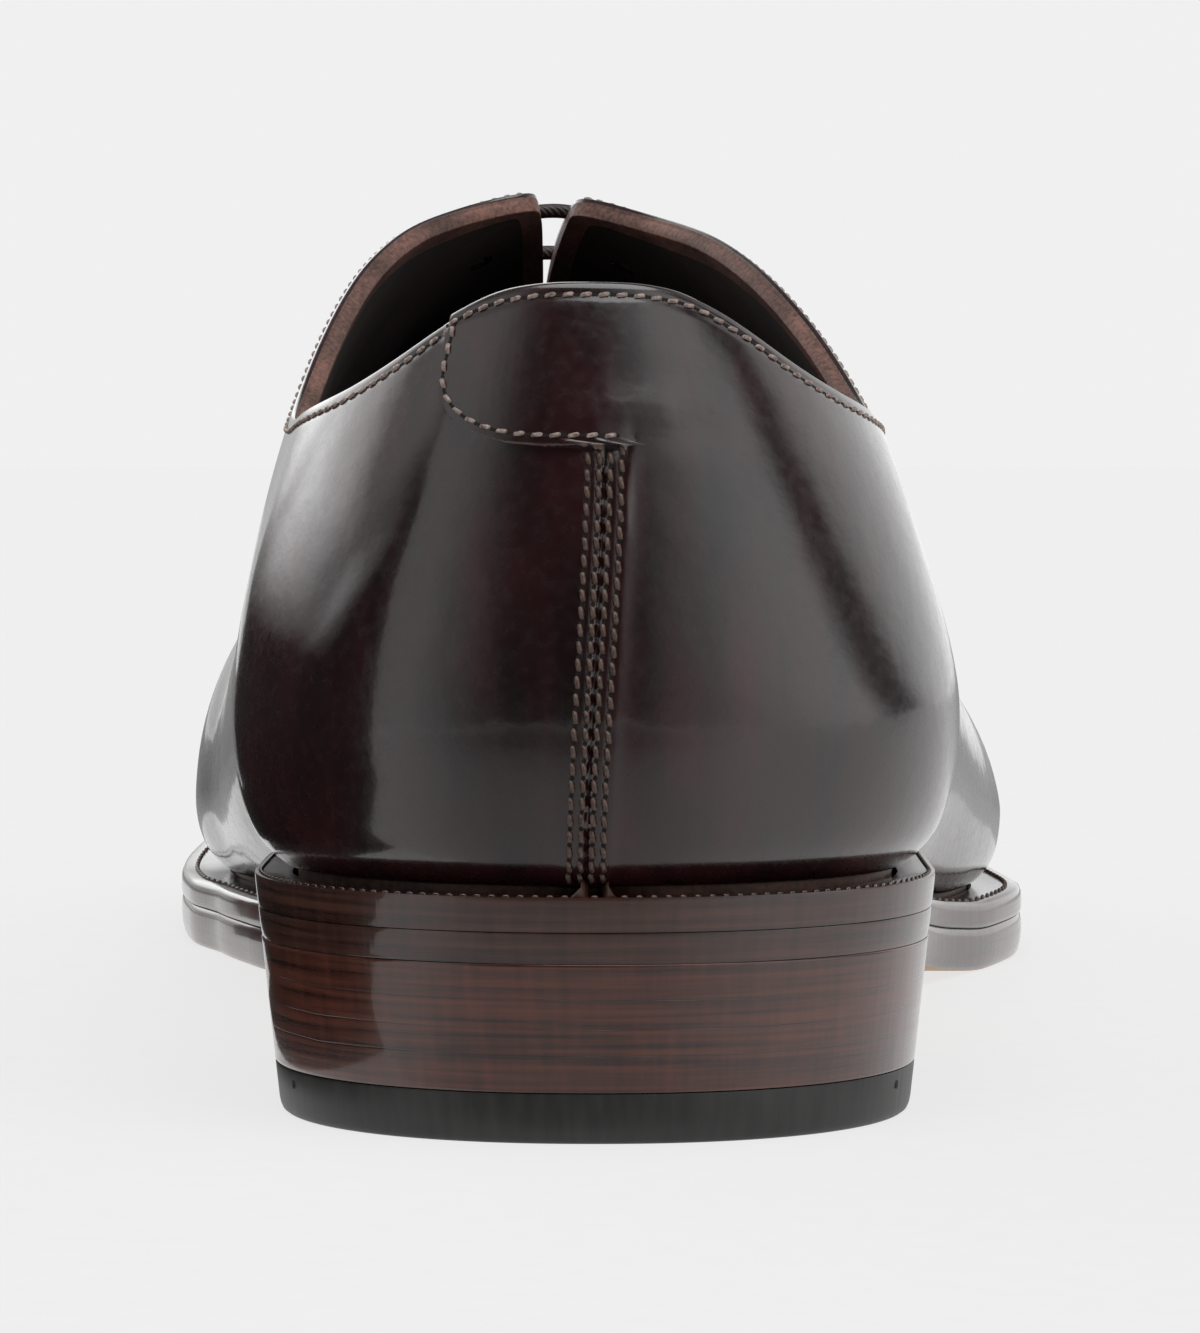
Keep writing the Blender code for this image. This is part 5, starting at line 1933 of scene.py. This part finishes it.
def lace_route(u):
    """One bar of lace: up through the inner eyelet, over both facings and down through the outer one."""
    route = []
    for side, way in ((MEDIAL, 1), (LATERAL, -1)):
        part = []
        for portion in LACE_LIES:
            turn = turn_at_offset(side, u, EYELET_EDGE * portion)
            normal, _ = frame_at(side, u, turn)
            dip = LACE_DIP if portion == 1.0 else 0.0
            part.append(above_belly(side, u, turn) + (LACE / 2 + CLEARANCE / 3 - dip) * normal)
        turn = turn_at_offset(side, u, EYELET_EDGE * LACE_HOLE)
        normal, _ = frame_at(side, u, turn)
        ends = [above_belly(side, u, turn) - depth * normal for depth in LACE_ENDS]
        route += (ends[::-1] + part)[::way]
    return route


def make_laces(look):
    """The lace, in the closed bars that an oxford is laced with."""
    cord = braided_cord(look)
    curve = bpy.data.curves.new("lace", "CURVE")
    curve.dimensions = "3D"
    curve.bevel_depth = LACE / 2
    curve.bevel_resolution = 3
    curve.resolution_u = 6
    curve.use_fill_caps = True
    for u in eyelet_stations():
        route = lace_route(u)
        spline = curve.splines.new("BEZIER")
        spline.bezier_points.add(len(route) - 1)
        for point, spot in zip(spline.bezier_points, route):
            point.co = Vector(spot)
            point.handle_left_type = point.handle_right_type = "AUTO"
    made = linked("lace", curve)
    graph = bpy.context.evaluated_depsgraph_get()
    mesh = bpy.data.meshes.new_from_object(made.evaluated_get(graph), depsgraph=graph)
    bpy.data.objects.remove(made)
    mesh.name = "lace"
    mesh.materials.clear()
    mesh.materials.append(cord)
    mesh.shade_smooth()
    return linked("lace", mesh)


def make_room(look):
    """The studio round the shoe. The camera sees only its white paper; the shoe mirrors all of it."""
    world = bpy.data.worlds.new("studio")
    world.use_nodes = True
    tree = world.node_tree
    tree.nodes.clear()
    towards = add_node(tree, "TexCoord").outputs["Generated"]
    parts = add_node(tree, "SeparateXYZ", {"Vector": towards})
    turn = turn_of(tree, parts)
    outer = add_node(tree, "Math", {0: turn, 1: 0.0}, operation="MAXIMUM")
    capped = add_node(tree, "Math", {0: parts.outputs["Z"], 1: ROOM_LEAN_TO}, operation="MINIMUM")
    lean = add_node(
        tree, "Math", {0: capped, 1: ROOM_LEAN, 2: -ROOM_LEAN * ROOM_LEAN_FROM}, operation="MULTIPLY_ADD"
    )
    leaned = add_node(tree, "Math", {0: outer, 1: lean, 2: turn}, operation="MULTIPLY_ADD")
    degrees = add_node(tree, "MapRange", {"Value": leaned, "From Min": -math.pi, "From Max": math.pi})
    up = add_node(tree, "MapRange", {"Value": parts.outputs["Z"], "From Min": -1.0})
    walls = []
    for by_turn, by_height in ((ROOM, ROOM_HEIGHT), (WINDOW, WINDOW_HEIGHT)):
        across = add_node(tree, "ValToRGB", {"Fac": degrees}, grey_stops(by_turn, -180, 360))
        upwards = add_node(tree, "ValToRGB", {"Fac": up}, grey_stops(by_height, -1, 2))
        walls.append(add_node(tree, "VectorMath", {0: across, 1: upwards}, operation="MULTIPLY"))
    lit = add_node(
        tree, "VectorMath", {0: walls[1], 1: (WINDOW_BRIGHT,) * 3, 2: walls[0]}, operation="MULTIPLY_ADD"
    )
    mirrored = add_node(tree, "Background", {"Color": lit, "Strength": look.surround})
    paper = add_node(tree, "Background", {"Color": linear(PAPER), "Strength": 1.0})
    seen = add_node(tree, "LightPath").outputs["Is Camera Ray"]
    mixed = add_node(tree, "MixShader", {0: seen, 1: mirrored, 2: paper})
    add_node(tree, "OutputWorld", {"Surface": mixed})
    bpy.context.scene.world = world


def make_floor(look):
    """The light table that the shoe stands on, as rings of faces that grow outwards."""
    sides = FLOOR_SIDES
    points = [(0.0, FLOOR_MIDDLE, 0.0)]
    faces = [(0, 1 + k, 1 + (k + 1) % sides) for k in range(sides)]
    for r, reach in enumerate((*FLOOR_RINGS, FLOOR_REACH)):
        for k in range(sides):
            a = 2 * math.pi * k / sides
            points.append((reach * math.cos(a), FLOOR_MIDDLE + reach * math.sin(a), 0.0))
            if r:
                a, b = 1 + (r - 1) * sides, 1 + r * sides
                nxt = (k + 1) % sides
                faces.append((a + k, b + k, b + nxt, a + nxt))
    floor = mesh_piece("studio_floor", points, faces, [light_table(look)])
    face_up(floor.data)


def make_felts():
    """The felt card beside the shoe and the felt runner under it. Only the polished leather sees them."""
    corners = (
        (CARD_FOOT, CARD_UNDER, CARD_FOOT_FROM), (CARD_ACROSS, CARD_UNDER, CARD_FOOT_FROM),
        (CARD_ACROSS, CARD_BENDS, CARD_FROM), (CARD_ACROSS, CARD_TALL + CARD_SOFT, CARD_FROM),
    )
    points = [(x, y, z) for x, z, near in corners for y in (near, CARD_TO)]
    points += [(CARD_ACROSS, y, z) for z in (CARD_UNDER, CARD_BENDS) for y in (CARD_TO, CARD_LOW_TO)]
    faces = [(2 * k, 2 * k + 1, 2 * k + 3, 2 * k + 2) for k in (0, 1, 2, 4)]
    card = mesh_piece("black_card", points, faces, [felt("black_felt", card_cover)], sharp=CARD_ANGLE)
    ends = (-RUNNER_LONG, BACK, TIP, RUNNER_LONG)
    points = [(x, y, CARD_UNDER) for y in ends for x in (-RUNNER_WIDE, RUNNER_WIDE)]
    faces = [(0, 1, 3, 2), (4, 5, 7, 6)]
    runner = mesh_piece("felt_runner", points, faces, [felt("felt_runner", runner_cover)])
    for sheet in (card, runner):
        sheet.visible_camera = sheet.visible_diffuse = sheet.visible_shadow = False


def make_stage(look):
    """The light table as the floor, the felts, the large soft box overhead and the room round them."""
    make_floor(look)
    make_felts()
    sun = bpy.data.lights.new("overhead_softbox", "SUN")
    sun.angle = math.radians(OVERHEAD_WIDE)
    sun.energy = look.overhead
    lamp = linked("overhead_softbox", sun)
    turn, height = math.radians(OVERHEAD_TURN), math.radians(OVERHEAD_HEIGHT)
    level = math.cos(height)
    where = Vector((math.sin(turn) * level, -math.cos(turn) * level, math.sin(height)))
    lamp.location = where
    lamp.rotation_euler = (-where).to_track_quat("-Z", "Y").to_euler()
    make_room(look)


def make_camera(look):
    """The photograph's camera, straight behind the heel."""
    lens = bpy.data.cameras.new("camera")
    lens.sensor_width = 36.0
    lens.lens = look.lens
    camera = linked("camera", lens)
    camera.location = (0.0, -CAMERA_BEHIND, CAMERA_HEIGHT)
    aim = Vector((AIM_ACROSS, 0.0, AIM_HEIGHT)) - camera.location
    camera.rotation_euler = aim.to_track_quat("-Z", "Y").to_euler()
    bpy.context.scene.camera = camera
    bpy.context.scene.view_settings.view_transform = "Standard"


def colour_property(name, description, default):
    """A colour in the panel, from a hex code."""
    return bpy.props.FloatVectorProperty(
        name=name, description=description, default=srgb(default), size=3, min=0, max=1, subtype="COLOR_GAMMA"
    )


def length_property(name, description, default):
    """A length in the panel."""
    return bpy.props.FloatProperty(
        name=name, description=description, default=default, min=0.00001, unit="LENGTH", subtype="DISTANCE",
        precision=5,
    )


class OxfordLook(bpy.types.PropertyGroup):
    """Colours and sizes of the shoe's finish."""

    calf_dark: colour_property("Calf", "Upper leather where the dye is deepest", "#0d0606")
    calf_glow: colour_property("Calf glow", "Burgundy that shows where the dye is thinner", "#2f1114")
    # Thread colours: the plain ones are the thread in shade, the light ones are painted highlights on its ribs
    thread: colour_property("Thread", "Waxed thread in the shade", "#2b1d18")
    thread_highlight: colour_property("Thread highlight", "Waxed thread on its ribs", "#5f483d")
    collar_thread: colour_property("Collar thread", "Fine thread of the collar in the shade", "#54423b")
    collar_thread_highlight: colour_property("Collar thread highlight", "Fine thread on its ribs", "#a8968d")
    edge_dark: colour_property("Edge ink", "Inked sole edge at its darkest", "#1e0d0a")
    edge_light: colour_property("Edge glow", "Inked sole edge where it was ironed", "#44261c")
    stack_dark: colour_property("Heel stack", "Stacked heel leather at its darkest", "#240f0a")
    stack_light: colour_property("Heel glow", "Stacked heel leather at its lightest", "#54291b")
    rubber: colour_property("Heel rubber", "Rubber of the top piece", "#272625")
    lace: colour_property("Lace", "Round waxed lace", "#1f1312")
    sole_tan: colour_property("Natural sole", "Underside of the leather outsole", "#b99268")
    grain: length_property("Grain", "Width of one cell of the calf's grain", 0.00055)
    stitch_pitch: length_property("Stitch pitch", "Collar, facings and tab", 0.0017)
    seam_pitch: length_property("Seam pitch", "Rows beside the back seam", 0.0016)
    welt_pitch: length_property("Welt pitch", "Sole stitches on the welt", 0.0026)
    seat_pitch: length_property("Seat pitch", "Wheeled marks round the heel seat", 0.0014)
    thread_width: length_property("Thread width", "Width of the closing thread", 0.00046)
    lens: bpy.props.FloatProperty(
        name="Lens", description="Focal length of the camera", default=CAMERA_LENS, min=20, unit="CAMERA"
    )
    surround: bpy.props.FloatProperty(
        name="Room", description="Brightness of the room that the leather mirrors", default=1.0, min=0
    )
    overhead: bpy.props.FloatProperty(
        name="Overhead", description="Strength of the overhead soft box", default=2.4, min=0
    )
    table: bpy.props.FloatProperty(
        name="Table", description="How strongly the light table shines from below", default=0.73, min=0
    )


class OXFORD_OT_upper(bpy.types.Operator):
    """Makes the one-piece upper with its rolled collar, lining and lace holes."""

    bl_idname = "oxford.upper"
    bl_label = "Upper"

    def execute(self, context):
        piece = make_upper(context.scene.oxford_look)
        shared["upper"] = Surface(piece)
        shared["leather"] = piece
        punch_eyelets(piece)
        take_place(piece, "burgundy_calf", "upper")
        return {"FINISHED"}


class OXFORD_OT_tab(bpy.types.Operator):
    """Makes the heel tab that laps over the back seam."""

    bl_idname = "oxford.tab"
    bl_label = "Heel tab"

    def execute(self, context):
        piece = make_tab(shared["under_tab"])
        shared["tab"] = Surface(piece)
        shared["both"] = Surface(shared["leather"], piece)
        take_place(piece, "burgundy_calf", "heel_tab")
        return {"FINISHED"}


class OXFORD_OT_stitches(bpy.types.Operator):
    """Sews the visible rows of thread."""

    bl_idname = "oxford.stitches"
    bl_label = "Stitches"

    def execute(self, context):
        for piece in make_stitches(context.scene.oxford_look):
            take_place(piece, "waxed_cord")
        return {"FINISHED"}


class OXFORD_OT_inside(bpy.types.Operator):
    """Makes the tongue and the insole's sock."""

    bl_idname = "oxford.inside"
    bl_label = "Tongue and sock"

    def execute(self, context):
        take_place(make_tongue(), "brown_lining", "tongue")
        take_place(make_insole(), "brown_lining", "insole")
        return {"FINISHED"}


class OXFORD_OT_laces(bpy.types.Operator):
    """Laces the facings in closed bars."""

    bl_idname = "oxford.laces"
    bl_label = "Laces"

    def execute(self, context):
        bars = [f"lace_bar_{k + 1}" for k in range(EYELETS)]
        take_place(make_laces(context.scene.oxford_look), "waxed_cord", *bars)
        return {"FINISHED"}


class OXFORD_OT_sole(bpy.types.Operator):
    """Makes the welt and the outsole."""

    bl_idname = "oxford.sole"
    bl_label = "Welt and outsole"

    def execute(self, context):
        take_place(make_welt(context.scene.oxford_look), "sole_edge", "welt")
        take_place(make_outsole(context.scene.oxford_look), "sole_edge", "outsole")
        return {"FINISHED"}


class OXFORD_OT_heel(bpy.types.Operator):
    """Makes the stacked heel and its rubber top piece."""

    bl_idname = "oxford.heel"
    bl_label = "Heel"

    def execute(self, context):
        look = context.scene.oxford_look
        lifts = [f"heel_lift_{k + 1}" for k in range(LIFTS)]
        take_place(make_heel(look), "stacked_leather", *lifts)
        tip, pins = make_tip(look)
        take_place(tip, "black_rubber", "top_piece")
        take_place(pins, "black_rubber")
        return {"FINISHED"}


class OXFORD_OT_stage(bpy.types.Operator):
    """Sets the camera, the pale floor and the soft boxes."""

    bl_idname = "oxford.stage"
    bl_label = "Stage"

    def execute(self, context):
        make_camera(context.scene.oxford_look)
        make_stage(context.scene.oxford_look)
        return {"FINISHED"}


STEPS = (
    OXFORD_OT_stage, OXFORD_OT_upper, OXFORD_OT_tab, OXFORD_OT_inside, OXFORD_OT_laces,
    OXFORD_OT_sole, OXFORD_OT_heel, OXFORD_OT_stitches,
)


class OXFORD_PT_panel(bpy.types.Panel):
    """Lists the shoe's finish and the steps that make it."""

    bl_idname = "OXFORD_PT_panel"
    bl_label = "Whole cut oxford"
    bl_space_type = "VIEW_3D"
    bl_region_type = "UI"
    bl_category = "Oxford"

    def draw(self, context):
        for name in OxfordLook.__annotations__:
            self.layout.prop(context.scene.oxford_look, name)
        for step in STEPS:
            self.layout.operator(step.bl_idname)


CLASSES = (OxfordLook, *STEPS, OXFORD_PT_panel)


def register():
    """Adds the panel, its steps and the shoe's settings."""
    for item in CLASSES:
        bpy.utils.register_class(item)
    bpy.types.Scene.oxford_look = bpy.props.PointerProperty(type=OxfordLook)


def unregister():
    """Takes them away again."""
    del bpy.types.Scene.oxford_look
    for item in reversed(CLASSES):
        bpy.utils.unregister_class(item)


def main():
    """Makes the whole shoe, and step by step."""
    register()
    bpy.ops.oxford.stage()
    bpy.ops.oxford.upper()
    bpy.ops.oxford.tab()
    bpy.ops.oxford.inside()
    bpy.ops.oxford.laces()
    bpy.ops.oxford.sole()
    bpy.ops.oxford.heel()
    bpy.ops.oxford.stitches()


if __name__ == "__main__":
    main()
